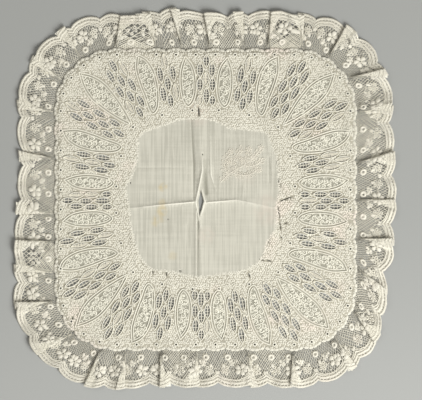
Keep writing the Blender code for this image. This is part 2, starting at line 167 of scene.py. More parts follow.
Reach = namedtuple("Reach", "place width")
REACHES = (
    Reach(0, 36), Reach(60, 38), Reach(92, 36), Reach(135, 39), Reach(190, 37), Reach(265, 40),
    Reach(330, 37.5), Reach(352, 31), Reach(372, 31), Reach(392, 34), Reach(410, 38), Reach(460, 37.5),
    Reach(530, 37), Reach(600, 37), Reach(670, 41), Reach(715, 42), Reach(790, 40), Reach(870, 36),
    Reach(905, 38), Reach(955, 38), Reach(1005, 36), Reach(1020, 33), Reach(1066, 41),
)
Pleat = namedtuple("Pleat", "foot lean lap over")
PLEATS = (
    Pleat(4, -2, 6, 1), Pleat(38, -3, 4, -1), Pleat(62, 8, 7, 1), Pleat(97, -4, 5, -1),
    Pleat(124, 1, 6, 1), Pleat(153, 9, 6, 1), Pleat(188, -2, 8, -1), Pleat(238, -8, 5, 1),
    Pleat(275, 4, 6, 1), Pleat(314, 4, 6, 1), Pleat(344, 26, 9, 1), Pleat(388, 11, 8, -1),
    Pleat(419, 3, 6, 1), Pleat(464, -1, 5, -1), Pleat(508, -6, 6, 1), Pleat(559, 2, 7, 1),
    Pleat(596, -2, 4, -1), Pleat(630, 5, 6, 1), Pleat(656, 2, 5, -1), Pleat(688, 9, 8, 1),
    Pleat(725, 2, 6, -1), Pleat(753, 5, 6, 1), Pleat(785, -3, 6, -1), Pleat(812, 3, 6, 1),
    Pleat(868, 3, 7, -1), Pleat(914, 5, 8, 1), Pleat(947, 2, 7, 1), Pleat(976, 0, 6, -1),
    Pleat(1011, 10, 7, 1), Pleat(1053, -11, 7, -1), Pleat(1078, -9, 5, 1),
)

# Leaf shapes of the band, tip first and then down the side next to the middle line
LEAF_ONE = ((-21.5, 143), (-15, 135), (-11.8, 126), (-10.6, 115), (-11, 105), (-13.8, 96.5),
            (-18.5, 92.5), (-22.8, 96.5), (-25.4, 105), (-26.8, 115), (-26.6, 126), (-24.6, 135))
LEAF_TWO = ((-70.3, 145.2), (-60.5, 140.3), (-53.4, 130.3), (-49.6, 118.8), (-48, 108), (-47.8, 97.5),
            (-49.3, 89.5), (-53.6, 85.3), (-57.6, 89.5), (-61.6, 101), (-67, 115), (-71, 130))
LEAF_CORNER = ((-128, 127.5), (-114, 125), (-101.3, 117.5), (-91.5, 106.5), (-83.5, 95), (-77.5, 84),
               (-75, 75), (-84, 77.5), (-95, 83.5), (-106.5, 91.5), (-117.5, 101.3), (-125, 114))


# Plan of the cloth

def edge_places(place):
    """Points and outward directions of the cloth's plain edge, clockwise from the far side's middle."""
    place = np.mod(np.asarray(place, float), ROUND)
    quarter = np.floor(place / QUARTER)
    rest = place - quarter * QUARTER
    turn = np.clip((rest - STRAIGHT) / CORNER_RADIUS, 0, math.pi / 2)
    out_x, out_y = np.sin(turn), np.cos(turn)
    x = np.minimum(rest, STRAIGHT) + CORNER_RADIUS * out_x
    y = STRAIGHT + CORNER_RADIUS * out_y - np.maximum(rest - STRAIGHT - ARC, 0)
    for k in (1, 2, 3):
        on = quarter >= k
        x, y = np.where(on, y, x), np.where(on, -x, y)
        out_x, out_y = np.where(on, out_y, out_x), np.where(on, -out_x, out_y)
    return x, y, out_x, out_y


def inset(x, y):
    """Distance inside the plain edge."""
    over_x, over_y = np.abs(x) - STRAIGHT, np.abs(y) - STRAIGHT
    outside = np.hypot(np.maximum(over_x, 0), np.maximum(over_y, 0))
    return CORNER_RADIUS - outside - np.minimum(np.maximum(over_x, over_y), 0)


def smooth(share):
    share = np.clip(share, 0.0, 1.0)
    return share * share * (3 - 2 * share)


def crease_lift(crease, x, y, sharp=False):
    run_x, run_y = crease.x1 - crease.x0, crease.y1 - crease.y0
    share = ((x - crease.x0) * run_x + (y - crease.y0) * run_y) / (run_x**2 + run_y**2)
    share = np.clip(share, 0.0, 1.0)
    off = np.hypot(x - crease.x0 - share * run_x, y - crease.y0 - share * run_y)
    top = crease.height0 + share * (crease.height1 - crease.height0)
    near = np.clip(1 - off / crease.reach, 0, 1)
    return top * (near**1.3 if sharp else smooth(near))


def fine_folds(x, y):
    """Sharp ridges and grooves of the cloth, above and below 0."""
    ridge, groove = np.zeros(x.shape), np.zeros(x.shape)
    for crease in FINE_CREASES:
        lift = crease_lift(crease, x, y, sharp=True)
        ridge, groove = np.maximum(ridge, lift), np.minimum(groove, lift)
    return ridge + groove


def edge_drop(x, y):
    """How much the upper face falls where the cloth thins out to its edge."""
    return EDGE_DROP * smooth(1 - inset(x, y) / EDGE_DROP_RUN)


def cloth_height(x, y):
    """Height of the cloth's upper face."""
    x, y = np.asarray(x, float), np.asarray(y, float)
    risen = smooth((RIM_FLAT - inset(x, y)) / (RIM_FLAT - RIM_RISEN))
    main = np.zeros(x.shape)
    for crease in CREASES:
        main = np.maximum(main, SWELL * crease_lift(crease, x, y))
    folds = np.maximum(main + fine_folds(x, y), -0.9)
    return CLOTH_TOP + risen * SEAT_HEIGHT + (1 - risen) * folds - edge_drop(x, y)


def turned(points, quarter, side=1):
    """Points of the far side's left half, mirrored and turned to one of the eight eighths."""
    x, y = side * points[..., 0], points[..., 1]
    for _ in range(quarter):
        x, y = y, -x
    return np.stack([x, y], -1)


def spindles():
    """Centre, outward direction, length and width of each openwork spindle, as in the solids."""
    rng = np.random.default_rng(SEED)
    made = []
    for quarter, shifts in enumerate(GROUP_SHIFTS):
        for (group, side), shift in zip(GROUPS, shifts):
            lean = math.radians(group.lean)
            for row in group.rows:
                for spread in sorted({row.spread, -row.spread}):
                    out = row.out + rng.uniform(-HAND_SHIFT, HAND_SHIFT)
                    across = spread + rng.uniform(-HAND_SHIFT, HAND_SHIFT)
                    x = -group.along - out * math.sin(lean) + across * math.cos(lean)
                    y = group.out + out * math.cos(lean) + across * math.sin(lean)
                    size = 1 + rng.uniform(-HAND_STRETCH, HAND_STRETCH)
                    ends = np.array([(x, y), (x - math.sin(lean), y + math.cos(lean))])
                    ends = turned(ends, quarter, side) + shift
                    made.append((ends[0], ends[1] - ends[0], row.length * size, SPINDLE_WIDTH * size))
    return made


def spindle_half_width(share):
    """Half width of a spindle, as a share of its greatest, at a share of its half length."""
    return np.clip(1 - np.abs(share) ** 2.1, 0, 1)


def spindle_outline(spindle, count, grow=0.0):
    centre, out, length, width = spindle
    angle = np.arange(count) * 2 * math.pi / count
    along = np.cos(angle)
    half = spindle_half_width(along) * np.sign(np.sin(angle)) * (np.abs(np.sin(angle)) > 1e-6)
    across = np.array([out[1], -out[0]])
    points = centre + np.outer(along * (length / 2 + grow), out)
    return points + np.outer(half * (width / 2) + np.sin(angle) * grow, across)


def smooth_path(points, step, closed=False):
    """Even points along a smooth curve through the given ones."""
    points = np.asarray(points, float)
    if closed:
        wrapped = np.concatenate([points[-1:], points, points[:2]])
    else:
        wrapped = np.concatenate([2 * points[:1] - points[1:2], points, 2 * points[-1:] - points[-2:-1]])
    share = np.linspace(0, 1, 12, endpoint=False)[:, None]
    pieces = []
    for a, b, c, d in zip(wrapped, wrapped[1:], wrapped[2:], wrapped[3:]):
        pieces.append(0.5 * (2 * b + (c - a) * share + (2 * a - 5 * b + 4 * c - d) * share**2
                             + (3 * b - a - 3 * c + d) * share**3))
    line = np.concatenate(pieces + [wrapped[-2:-1]])
    length = np.concatenate([[0], np.cumsum(np.linalg.norm(np.diff(line, axis=0), axis=1))])
    count = max(3, int(round(length[-1] / step)))
    at = np.linspace(0, length[-1], count + 1)
    if closed:
        at = at[:-1]
    return np.stack([np.interp(at, length, line[:, 0]), np.interp(at, length, line[:, 1])], -1)


def leaves():
    """Outlines of the twenty leaf shapes, tip to tip; each lies between its neighbouring groups."""
    one, two, corner = (smooth_path(s + s[:1], 1.2) for s in (LEAF_ONE, LEAF_TWO, LEAF_CORNER))
    upper = smooth(0.5 + corner.sum(axis=1) / 24)[:, None]
    made = []
    for quarter, shifts in enumerate(GROUP_SHIFTS):
        for side, second, outer in ((1, shifts[1], shifts[3]), (-1, shifts[2], shifts[4])):
            made.append(turned(one, quarter, side) + 0.6 * shifts[0] + 0.4 * second)
            made.append(turned(two, quarter, side) + (second + outer) / 2)
        shift = upper * shifts[3] + (1 - upper) * GROUP_SHIFTS[quarter - 1][4]
        made.append(turned(corner, quarter) + shift)
    return made


def inside(points, outline):
    """Which points lie inside a closed outline."""
    x, y = points[:, 0], points[:, 1]
    within = np.zeros(len(points), bool)
    for (x0, y0), (x1, y1) in zip(outline, np.roll(outline, -1, axis=0)):
        if y0 == y1:
            continue
        crosses = ((y0 > y) != (y1 > y)) & (x < x0 + (y - y0) * (x1 - x0) / (y1 - y0))
        within ^= crosses
    return within


def distance_to(points, path):
    """Distance from each point to a path."""
    nearest = np.full(len(points), 1e9)
    for start, end in zip(path[:-1], path[1:]):
        run = end - start
        share = np.clip((points - start) @ run / max(run @ run, 1e-9), 0, 1)
        nearest = np.minimum(nearest, np.linalg.norm(points - start - share[:, None] * run, axis=1))
    return nearest


def near_spindles(points, gap):
    """Which points lie in a spindle or within a gap of one."""
    close = np.zeros(len(points), bool)
    for centre, out, length, width in SPINDLES:
        away = points - centre
        along = away @ out
        across = np.abs(away[:, 0] * out[1] - away[:, 1] * out[0])
        half = spindle_half_width(np.clip(along / (length / 2 + gap), -1, 1)) * width / 2 + gap
        close |= (np.abs(along) < length / 2 + gap) & (across < half)
    return close


def edge_outline(per_small=4):
    """The cloth's scalloped edge with its small scallops, counter-clockwise."""
    count = SCALLOPS * SMALL_SCALLOPS * per_small
    number = np.arange(count)
    share = (number % (SMALL_SCALLOPS * per_small)) / (SMALL_SCALLOPS * per_small)
    small = (number % per_small) / per_small
    x, y, out_x, out_y = edge_places(number * ROUND / count)
    bulge = SCALLOP_DEPTH * (np.sin(math.pi * share) ** 0.7 - 1)
    bulge = bulge + SMALL_SCALLOP_DEPTH * (np.sin(math.pi * small) ** 0.7 - 0.6)
    return np.stack([x + bulge * out_x, y + bulge * out_y], -1)[::-1]


def edge_eyelets():
    """Centres of the pinholes inside the edge, one to a scallop."""
    x, y, out_x, out_y = edge_places((np.arange(SCALLOPS) + 0.5) * ROUND / SCALLOPS)
    return np.stack([x - EDGE_EYELET_INSET * out_x, y - EDGE_EYELET_INSET * out_y], -1)


def inner_eyelets():
    """Centres of the pinholes next to the plain middle, one to a leaf."""
    made = []
    for quarter in range(4):
        for side in (1, -1):
            made.append(turned(np.array([(-13.2, 89.3), (-43.5, 84.5)]), quarter, side))
        made.append(turned(np.array([(-72.5, 72.5)]), quarter))
    return np.concatenate(made)


def slit_outline(slit):
    start, end = np.array([slit.x0, slit.y0]), np.array([slit.x1, slit.y1])
    run = end - start
    across = np.array([run[1], -run[0]]) / np.linalg.norm(run) * slit.width / 2
    return np.array([start, start + 0.3 * run + across, start + 0.7 * run + across * 0.8, end,
                     start + 0.7 * run - across, start + 0.3 * run - across * 0.8])


SPINDLES = spindles()
LEAVES = leaves()
MIDDLE = smooth_path(MIDDLE_EDGE, 1.6, closed=True)


def past_middle(points):
    """Distance from the edge of the plain middle, above 0 in the worked band."""
    away = distance_to(points, np.concatenate([MIDDLE, MIDDLE[:1]]))
    return np.where(inside(points, MIDDLE), -away, away)


EYELETS = np.concatenate([edge_eyelets(), inner_eyelets()])


# All meshes go through one heap of points and triangles


class Heap:
    """Points and triangles gathered for one piece."""

    def __init__(self):
        self.points = []
        self.faces = []
        self.size = 0

    def add(self, points, faces):
        points = np.asarray(points, float).reshape(-1, 3)
        faces = np.asarray(faces, int)
        if faces.shape[-1] == 4:
            faces = faces.reshape(-1, 4)
            faces = np.concatenate([faces[:, [0, 1, 2]], faces[:, [0, 2, 3]]])
        self.points.append(points)
        self.faces.append(faces.reshape(-1, 3) + self.size)
        self.size += len(points)


lawn_low, lawn_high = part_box("lawn")
SHIFT = np.array([(lawn_low.x + lawn_high.x) / 2, (lawn_low.y + lawn_high.y) / 2, 0.0])
GRAIN_SINK = 0.05
BAR_LIFT = 0.1


def make_piece(name, heap, material, node):
    """One mesh object in the frame, riding on the part and given its material."""
    points = np.concatenate(heap.points)
    points[:, 2] = np.maximum(points[:, 2], LOWEST)
    points = points * MM + SHIFT
    faces = np.concatenate(heap.faces)
    mesh = bpy.data.meshes.new(name)
    mesh.vertices.add(len(points))
    mesh.vertices.foreach_set("co", points.astype(np.float32).ravel())
    mesh.loops.add(len(faces) * 3)
    mesh.loops.foreach_set("vertex_index", faces.astype(np.int32).ravel())
    mesh.polygons.add(len(faces))
    mesh.polygons.foreach_set("loop_start", np.arange(0, len(faces) * 3, 3, dtype=np.int32))
    mesh.polygons.foreach_set("use_smooth", np.ones(len(faces), bool))
    mesh.update(calc_edges=True)
    mesh.validate()
    mesh.materials.append(material)
    piece = bpy.data.objects.new(name, mesh)
    bpy.context.scene.collection.objects.link(piece)
    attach(piece, "root")
    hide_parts(node)
    return piece


def grid_faces(rows, columns, wrap_rows=False, wrap_columns=False):
    """Four-sided faces of a grid of points stored row by row."""
    r = np.arange(rows if wrap_rows else rows - 1)[:, None]
    c = np.arange(columns if wrap_columns else columns - 1)[None, :]
    r1, c1 = (r + 1) % rows, (c + 1) % columns
    return np.stack([r * columns + c, r * columns + c1, r1 * columns + c1, r1 * columns + c], -1)


def add_cord(heap, path, radius, height, closed=False, lift=0.0, wave=0.0):
    """Half-round cord along a path on the cloth; a wave swells it like close stitches."""
    ahead = np.roll(path, -1, axis=0) if closed else np.concatenate([path[1:], path[-1:]])
    behind = np.roll(path, 1, axis=0) if closed else np.concatenate([path[:1], path[:-1]])
    run = ahead - behind
    run /= np.maximum(np.linalg.norm(run, axis=1, keepdims=True), 1e-9)
    side = np.stack([run[:, 1], -run[:, 0]], -1)
    swell = 1 + wave * (np.arange(len(path)) % 2 * 2 - 1)
    if not closed:
        swell[0] = swell[-1] = 0.4
    base = cloth_height(path[:, 0], path[:, 1]) + lift
    rows = []
    for off, up in ((1, -0.15), (0.62, 0.72), (0, 1), (-0.62, 0.72), (-1, -0.15)):
        flat = path + side * (off * radius * swell)[:, None]
        rows.append(np.column_stack([flat, base + up * height * swell]))
    heap.add(np.stack(rows), grid_faces(5, len(path), wrap_columns=closed))


def add_grains(heap, centres, turns, lengths, widths, height):
    """Small raised stitches, like grains of rice."""
    shape = np.array([(0.5, 0, 0), (0.26, 0.5, 0), (-0.26, 0.5, 0), (-0.5, 0, 0), (-0.26, -0.5, 0),
                      (0.26, -0.5, 0), (0.24, 0, 1), (-0.24, 0, 1)])
    faces = np.array([(0, 1, 6), (1, 2, 7), (1, 7, 6), (2, 3, 7), (3, 4, 7), (4, 5, 6), (4, 6, 7),
                      (5, 0, 6)])
    along = shape[None, :, 0] * lengths[:, None]
    across = shape[None, :, 1] * widths[:, None]
    cos, sin = np.cos(turns)[:, None], np.sin(turns)[:, None]
    x = centres[:, 0][:, None] + along * cos - across * sin
    y = centres[:, 1][:, None] + along * sin + across * cos
    z = cloth_height(centres[:, 0], centres[:, 1])[:, None] - GRAIN_SINK + shape[None, :, 2] * height
    points = np.stack([x, y, z], -1)
    count = len(shape)
    heap.add(points, (faces[None] + np.arange(len(centres))[:, None, None] * count))


def add_rings(heap, centres, radius, tube, height, turns=None, sweep=2 * math.pi, steps=9):
    """Small worked rings, or open curls where the sweep is less than a full turn."""
    closed = sweep > 6.2
    count = steps if closed else steps + 1
    angle = np.arange(count) * sweep / steps
    turns = np.zeros(len(centres)) if turns is None else turns
    angle = angle[None, :] + turns[:, None]
    base = cloth_height(centres[:, 0], centres[:, 1])[:, None]
    rows = []
    for off, up in ((1, 0), (0, 1), (-1, 0)):
        reach = radius + off * tube
        x = centres[:, 0][:, None] + reach * np.cos(angle)
        y = centres[:, 1][:, None] + reach * np.sin(angle)
        rows.append(np.stack([x, y, base + up * height + 0 * angle], -1))
    points = np.stack(rows, 1)
    faces = grid_faces(3, count, wrap_columns=closed).reshape(-1, 4)
    heap.add(points, faces[None] + np.arange(len(centres))[:, None, None] * 3 * count)


def add_bars(heap, starts, ends, radius):
    """Thin straight bars across the openings, three-sided."""
    run = ends - starts
    run /= np.maximum(np.linalg.norm(run, axis=1, keepdims=True), 1e-9)
    side = np.stack([run[:, 1], -run[:, 0]], -1) * radius
    rows = []
    for flat in (starts, ends):
        z = cloth_height(flat[:, 0], flat[:, 1]) + BAR_LIFT
        rows.append(np.column_stack([flat + side, z]))
        rows.append(np.column_stack([flat, z + radius[:, 0]]))
        rows.append(np.column_stack([flat - side, z]))
    points = np.stack(rows, 1)
    faces = np.array([(0, 3, 4, 1), (1, 4, 5, 2), (2, 5, 3, 0)])
    heap.add(points, faces[None] + np.arange(len(starts))[:, None, None] * 6)


# The frill's surface

Column = namedtuple("Column", "head foot edge shift_mid rise_mid shift_edge rise_edge lace")
TURN_STEPS = 5
PER_REPEAT = 12


def frill_width(place):
    places = np.array([r.place for r in REACHES] + [REACHES[0].place + ROUND])
    widths = np.array([r.width for r in REACHES] + [REACHES[0].width])
    place = np.mod(np.asarray(place, float), ROUND)
    before = np.clip(np.searchsorted(places, place, "right") - 1, 0, len(REACHES) - 1)
    share = smooth((place - places[before]) / (places[before + 1] - places[before]))
    return widths[before] + share * (widths[before + 1] - widths[before])


def edge_stretch(place, out):
    rest = place % QUARTER
    at_corner = STRAIGHT < rest < STRAIGHT + ARC
    return (CORNER_RADIUS + out) / CORNER_RADIUS if at_corner else 1.0


def pleat_columns(pleat, lace):
    """Columns of one pleat: a turn, the lap back, and a turn forward again."""
    half, level = pleat.lap / 2, 2 * TURN
    angles = np.linspace(-math.pi / 2, math.pi / 2, TURN_STEPS)
    first = [(half + TURN * math.cos(a), TURN + TURN * math.sin(a)) for a in angles]
    second = [(-half - TURN * math.cos(a), level + TURN + TURN * math.sin(a)) for a in angles]
    marks = first + second
    count = len(marks)
    columns = []
    edge = pleat.foot + pleat.lean
    for number, (shift, rise) in enumerate(marks):
        if number:
            before = marks[number - 1]
            lace += math.hypot(shift - before[0], rise - before[1])
        share = number / (count - 1)
        spread = HEADING_PLEAT * (share - 0.5) * 5 / 3
        mid_rise = 2 * level * share
        if pleat.over < 0:
            mid_rise, rise = 2 * level - mid_rise, 2 * level - rise
        columns.append(Column(pleat.foot + spread, pleat.foot, edge, 0, mid_rise, shift, rise, lace))
    return columns, lace


def gap_columns(before, after, lace, pitch):
    """Columns of the lace between two pleats."""
    turn = ROUND if after.foot < before.foot else 0
    edge0, edge1 = before.foot + before.lean, after.foot + after.lean + turn
    head0 = before.foot + HEADING_PLEAT * 1.2
    head1 = after.foot + turn - HEADING_PLEAT * 1.2
    width = float(frill_width(edge0) + frill_width(edge1)) / 2
    length = (edge1 - edge0) * edge_stretch((edge0 + edge1) / 2, width)
    shift0, shift1 = before.lap / 2 + SHOULDER, after.lap / 2 + SHOULDER
    start, end = -before.lap / 2, length + after.lap / 2
    columns = []
    if before.over > 0:
        columns.append(Column(head0, before.foot, edge0, SHOULDER * 0.7, 4 * TURN, shift0, 4 * TURN,
                              lace + shift0 - start))
    number = math.ceil((lace + shift0 - start + 1.5) / pitch * PER_REPEAT)
    while True:
        at = number * pitch / PER_REPEAT - lace + start
        if at > length - shift1 - 1.5:
            break
        share = at / length
        rise = 0
        if before.over > 0:
            rise = max(rise, 4 * TURN * (1 - smooth((at - shift0) / SLOPE_RUN)))
        if after.over < 0:
            rise = max(rise, 4 * TURN * (1 - smooth((length - shift1 - at) / SLOPE_RUN)))
        head = head0 + (at - shift0) / (length - shift0 - shift1) * (head1 - head0)
        columns.append(Column(head, head, edge0 + share * (edge1 - edge0), 0, rise, 0, rise,
                              number * pitch / PER_REPEAT))
        number += 1
    if after.over < 0:
        columns.append(Column(head1, after.foot + turn, edge1, -SHOULDER * 0.7, 4 * TURN, -shift1,
                              4 * TURN, lace + length - shift1 - start))
    return columns, lace + end - start


def lace_columns(pitch):
    """Columns of the whole lace, its length, and where each pleat begins."""
    columns, begins = [], []
    lace = 0.0
    for number, pleat in enumerate(PLEATS):
        begins.append(lace)
        made, lace = pleat_columns(pleat, lace)
        columns += made
        made, lace = gap_columns(pleat, PLEATS[(number + 1) % len(PLEATS)], lace, pitch)
        columns += made
    return columns, lace, begins


_, LACE_LENGTH, _ = lace_columns(LACE_REPEAT)
REPEATS = round(LACE_LENGTH / LACE_REPEAT)
LACE_PITCH = LACE_LENGTH / REPEATS
OPEN_COLUMNS, _, PLEAT_BEGINS = lace_columns(LACE_PITCH)


def closed_columns(columns):
    """The columns as one table that ends with the first one again, a whole round further."""
    first = columns[0]
    last = Column(first.head + ROUND, first.foot + ROUND, first.edge + ROUND, *first[3:7], LACE_LENGTH)
    return np.array(columns + [last])


COLUMNS = closed_columns(OPEN_COLUMNS)
FOLD_MARKS = COLUMNS[COLUMNS[:, 1] != COLUMNS[:, 0], 7]


def scallop(lace):
    """Share of a scallop's crown at a place along the lace: 0 at a cusp, 1 at a crown."""
    return np.abs(np.sin(math.pi * lace / LACE_PITCH)) ** 0.6


def frill_reach(lace):
    """Distance of the lace's outer edge outside the cloth's edge."""
    edge = np.interp(np.mod(lace, LACE_LENGTH), COLUMNS[:, 7], COLUMNS[:, 2])
    return frill_width(edge) + LACE_SCALLOP_DEPTH * (scallop(lace) - 1)


def ripple(place, out):
    """Small waves of the lace, the same for layers that lie on each other."""
    grown = smooth((out - PLEATS_FULL) / 22)
    gather = smooth((out - HEADING_PAST) / 3) * np.exp(-np.maximum(out - 4, 0) / 7)
    wave = 0.6 * np.sin(place / 4.1) + 0.35 * np.sin(place / 2.3 + 1.7)
    return grown * (wave + 0.95) + gather * 0.28 * (1 + np.sin(place * 1.75 + 0.8 * np.sin(place / 5)))


def frill_surface(lace, out):
    """Points of the lace's middle surface, from a place along it and a distance outside the cloth."""
    lace, out = np.broadcast_arrays(np.asarray(lace, float), np.asarray(out, float))
    at = np.mod(lace, LACE_LENGTH)
    head, foot, edge, shift_mid, rise_mid, shift_edge, rise_edge = (
        np.interp(at, COLUMNS[:, 7], COLUMNS[:, k]) for k in range(7))
    width = frill_width(edge)
    reach = width + LACE_SCALLOP_DEPTH * (scallop(lace) - 1)
    share_mid = (PLEATS_FULL - HEADING_PAST) / (width - HEADING_PAST)
    share_out = (reach - HEADING_PAST) / (width - HEADING_PAST)
    stages = []
    for place, far, shift, rise in (
            (head, -HEADING_UNDER, 0, 0), (head, HEADING_PAST, 0, 0),
            (foot + share_mid * (edge - foot), PLEATS_FULL, shift_mid, rise_mid),
            (foot + share_out * (edge - foot), reach, shift_edge, rise_edge)):
        x, y, out_x, out_y = edge_places(place)
        stages.append(np.stack([x + far * out_x + shift * out_y, y + far * out_y - shift * out_x,
                                LACE_HEIGHT + rise + 0 * x, place + 0 * x], -1))
    first_share = np.clip((out + HEADING_UNDER) / (HEADING_PAST + HEADING_UNDER), -1, 1)[..., None]
    second_share = np.clip((out - HEADING_PAST) / (PLEATS_FULL - HEADING_PAST), 0, 1)[..., None]
    third_share = np.maximum((out - PLEATS_FULL) / (reach - PLEATS_FULL), 0)[..., None]
    point = stages[0] + (stages[1] - stages[0]) * first_share
    point = point + (stages[2] - stages[1]) * second_share
    point = point + (stages[3] - stages[2]) * third_share
    point[..., 2] += ripple(point[..., 3], out)
    return point[..., :3]


def frill_frame(lace, out):
    """Surface point, its upward normal, and how far a step along the lace goes there."""
    point = frill_surface(lace, out)
    along = frill_surface(lace + 0.2, out) - frill_surface(lace - 0.2, out)
    across = frill_surface(lace, out + 0.2) - frill_surface(lace, out - 0.2)
    normal = np.cross(along, across)
    normal /= np.maximum(np.linalg.norm(normal, axis=-1, keepdims=True), 1e-9)
    return point, normal, np.linalg.norm(along, axis=-1) / 0.4


def add_strands(heap, paths, half_width, height):
    """Threads along paths on the lace: each is thin, three-sided and lies in the surface."""
    lace = np.concatenate([p[0] for p in paths])
    out = np.concatenate([p[1] for p in paths])
    run = np.concatenate([np.gradient(np.column_stack(p), axis=0) for p in paths])
    run /= np.maximum(np.linalg.norm(run, axis=1, keepdims=True), 1e-9)
    point, normal, _ = frill_frame(lace, out)
    left = frill_surface(lace - run[:, 1] * half_width, out + run[:, 0] * half_width)
    right = frill_surface(lace + run[:, 1] * half_width, out - run[:, 0] * half_width)
    points = np.stack([left - normal * height * 0.5, point + normal * height,
                       right - normal * height * 0.5], 1)
    last = np.cumsum([len(p[0]) for p in paths])
    keep = np.ones(len(lace), bool)
    keep[last - 1] = False
    start = np.nonzero(keep)[0][:, None] * 3
    faces = np.concatenate([start + np.array([(a, b, b + 3, a + 3)]) for a, b in ((0, 1), (1, 2), (2, 0))])
    heap.add(points, faces)


def add_ribbon(heap, lace, out, half_width, height):
    """A band along the lace, thick in its middle, closed and seen from both faces."""
    point, normal, _ = frill_frame(lace, out)
    inner = frill_surface(lace, out - half_width)
    outer = frill_surface(lace, out + half_width)
    rows = np.stack([inner, point + normal * height, outer, point - normal * height], 0)
    heap.add(rows, grid_faces(4, len(lace), wrap_rows=True))


PETAL_RIM = 0.12
PETAL_SHOULDER = 0.72


def add_petals(heap, lace, out, outline, turns, sizes, height):
    """Lens-shaped worked petals, leaves or dots on the lace, one to each place given."""
    _, _, step = frill_frame(lace, out)
    stretch = 1 / np.clip(step, 0.6, 3.0)
    cos, sin = np.cos(turns)[:, None], np.sin(turns)[:, None]
    x = (outline[None, :, 0] * cos - outline[None, :, 1] * sin) * sizes[:, None]
    y = (outline[None, :, 0] * sin + outline[None, :, 1] * cos) * sizes[:, None]
    rim = frill_surface(lace[:, None] + x * stretch[:, None], out[:, None] + y)
    middle_x, middle_y = x.mean(axis=1) * stretch, y.mean(axis=1)
    point, normal, _ = frill_frame(lace + middle_x, out + middle_y)
    point, normal = point[:, None], normal[:, None]
    tall = (height * sizes)[:, None, None]
    shoulder = point + (rim - point) * PETAL_SHOULDER + normal * tall
    points = np.concatenate([rim + normal * PETAL_RIM, shoulder, point + normal * tall * 0.8, point], 1)
    count = outline.shape[0]
    i = np.arange(count)
    j = (i + 1) % count
    top, under = np.full(count, 2 * count), np.full(count, 2 * count + 1)
    faces = np.concatenate([np.stack(three, -1) for three in (
        (i, j, j + count), (i, j + count, i + count), (i + count, j + count, top), (j, i, under))])
    heap.add(points, faces[None] + np.arange(len(lace))[:, None, None] * (2 * count + 2))


def add_eyelets(heap, lace, out, radius, tube, height, steps=10):
    """Ringed pinholes on the lace."""
    _, _, step = frill_frame(lace, out)
    stretch = (1 / np.clip(step, 0.6, 3.0))[:, None]
    angle = np.arange(steps)[None, :] * 2 * math.pi / steps
    rows = []
    for off, up in ((1, 0), (0, 1), (-1, 0), (0, -1)):
        reach = radius + off * tube
        x = lace[:, None] + reach * np.cos(angle) * stretch
        y = out[:, None] + reach * np.sin(angle)
        point, normal, _ = frill_frame(x, y)
        rows.append(point + normal * up * height)
    points = np.stack(rows, 1)
    faces = grid_faces(4, steps, wrap_rows=True, wrap_columns=True).reshape(-1, 4)
    heap.add(points, faces[None] + np.arange(len(lace))[:, None, None] * 4 * steps)


# Shader expressions


class Node:
    """A socket of a material's node tree, with the operators that the materials use."""

    def __init__(self, tree, socket):
        self.tree = tree
        self.socket = socket

    def make(self, kind, settings=None, values=None, output=0):
        """Adds a node of a kind, sets its settings, then its sockets from values or links."""
        node = self.tree.nodes.new(kind)
        for key, value in (settings or {}).items():
            setattr(node, key, value)
        for key, value in (values or {}).items():
            if isinstance(value, Node):
                self.tree.links.new(value.socket, node.inputs[key])
            else:
                node.inputs[key].default_value = value
        return Node(self.tree, node.outputs[output])

    def maths(self, operation, *values):
        return self.make("ShaderNodeMath", {"operation": operation}, dict(enumerate(values)))

    def __add__(self, other):
        return self.maths("ADD", self, other)

    __radd__ = __add__

    def __mul__(self, other):
        return self.maths("MULTIPLY", self, other)

    __rmul__ = __mul__

    def __sub__(self, other):
        return self.maths("SUBTRACT", self, other)

    def __rsub__(self, other):
        return self.maths("SUBTRACT", other, self)

    def __pow__(self, other):
        return self.maths("POWER", self, other)

    def sine(self):
        return self.maths("SINE", self)

    def between(self, low, high):
        """0 below the low value, 1 above the high one, and a soft step between."""
        return self.make("ShaderNodeMapRange", {"interpolation_type": "SMOOTHSTEP"},
                         {"Value": self, "From Min": low, "From Max": high})

    def tint(self, low, high):
        """Colour mixed from low to high as this value goes from 0 to 1."""
        node = self.tree.nodes.new("ShaderNodeMix")
        node.data_type = "RGBA"
        self.tree.links.new(self.socket, node.inputs[0])
        for socket, colour in ((node.inputs[6], low), (node.inputs[7], high)):
            if isinstance(colour, Node):
                self.tree.links.new(colour.socket, socket)
            else:
                socket.default_value = (*colour, 1)
        return Node(self.tree, node.outputs[2])


def begin_material(name, roughness, sheen=0.2):
    material = bpy.data.materials.new(name)
    material.use_nodes = True
    tree = material.node_tree
    shader = tree.nodes["Principled BSDF"]
    shader.inputs["Roughness"].default_value = roughness
    shader.inputs["Sheen Weight"].default_value = sheen
    shader.inputs["Specular IOR Level"].default_value = 0.25
    place = tree.nodes.new("ShaderNodeTexCoord")
    return material, shader, Node(tree, place.outputs["Object"])


def noise(place, scale, detail=3.0, stretch=(1, 1, 1)):
    """Noise of a size given in millimetres, pulled out along an axis by the stretch."""
    mapped = place.make("ShaderNodeMapping", None, {"Vector": place, "Scale": stretch})
    return mapped.make("ShaderNodeTexNoise", None,
                       {"Vector": mapped, "Scale": 1000 / scale, "Detail": detail})


def link(shader, name, value):
    value.tree.links.new(value.socket, shader.inputs[name])


def bump(value, strength, distance):
    return value.make("ShaderNodeBump", None,
                      {"Height": value, "Strength": strength, "Distance": distance * MM})


def part_coordinates(place):
    split = place.make("ShaderNodeSeparateXYZ", None, {"Vector": place})
    node = split.socket.node
    x = Node(place.tree, node.outputs[0]) * 1000 - SHIFT[0] * 1000
    y = Node(place.tree, node.outputs[1]) * 1000 - SHIFT[1] * 1000
    return x, y


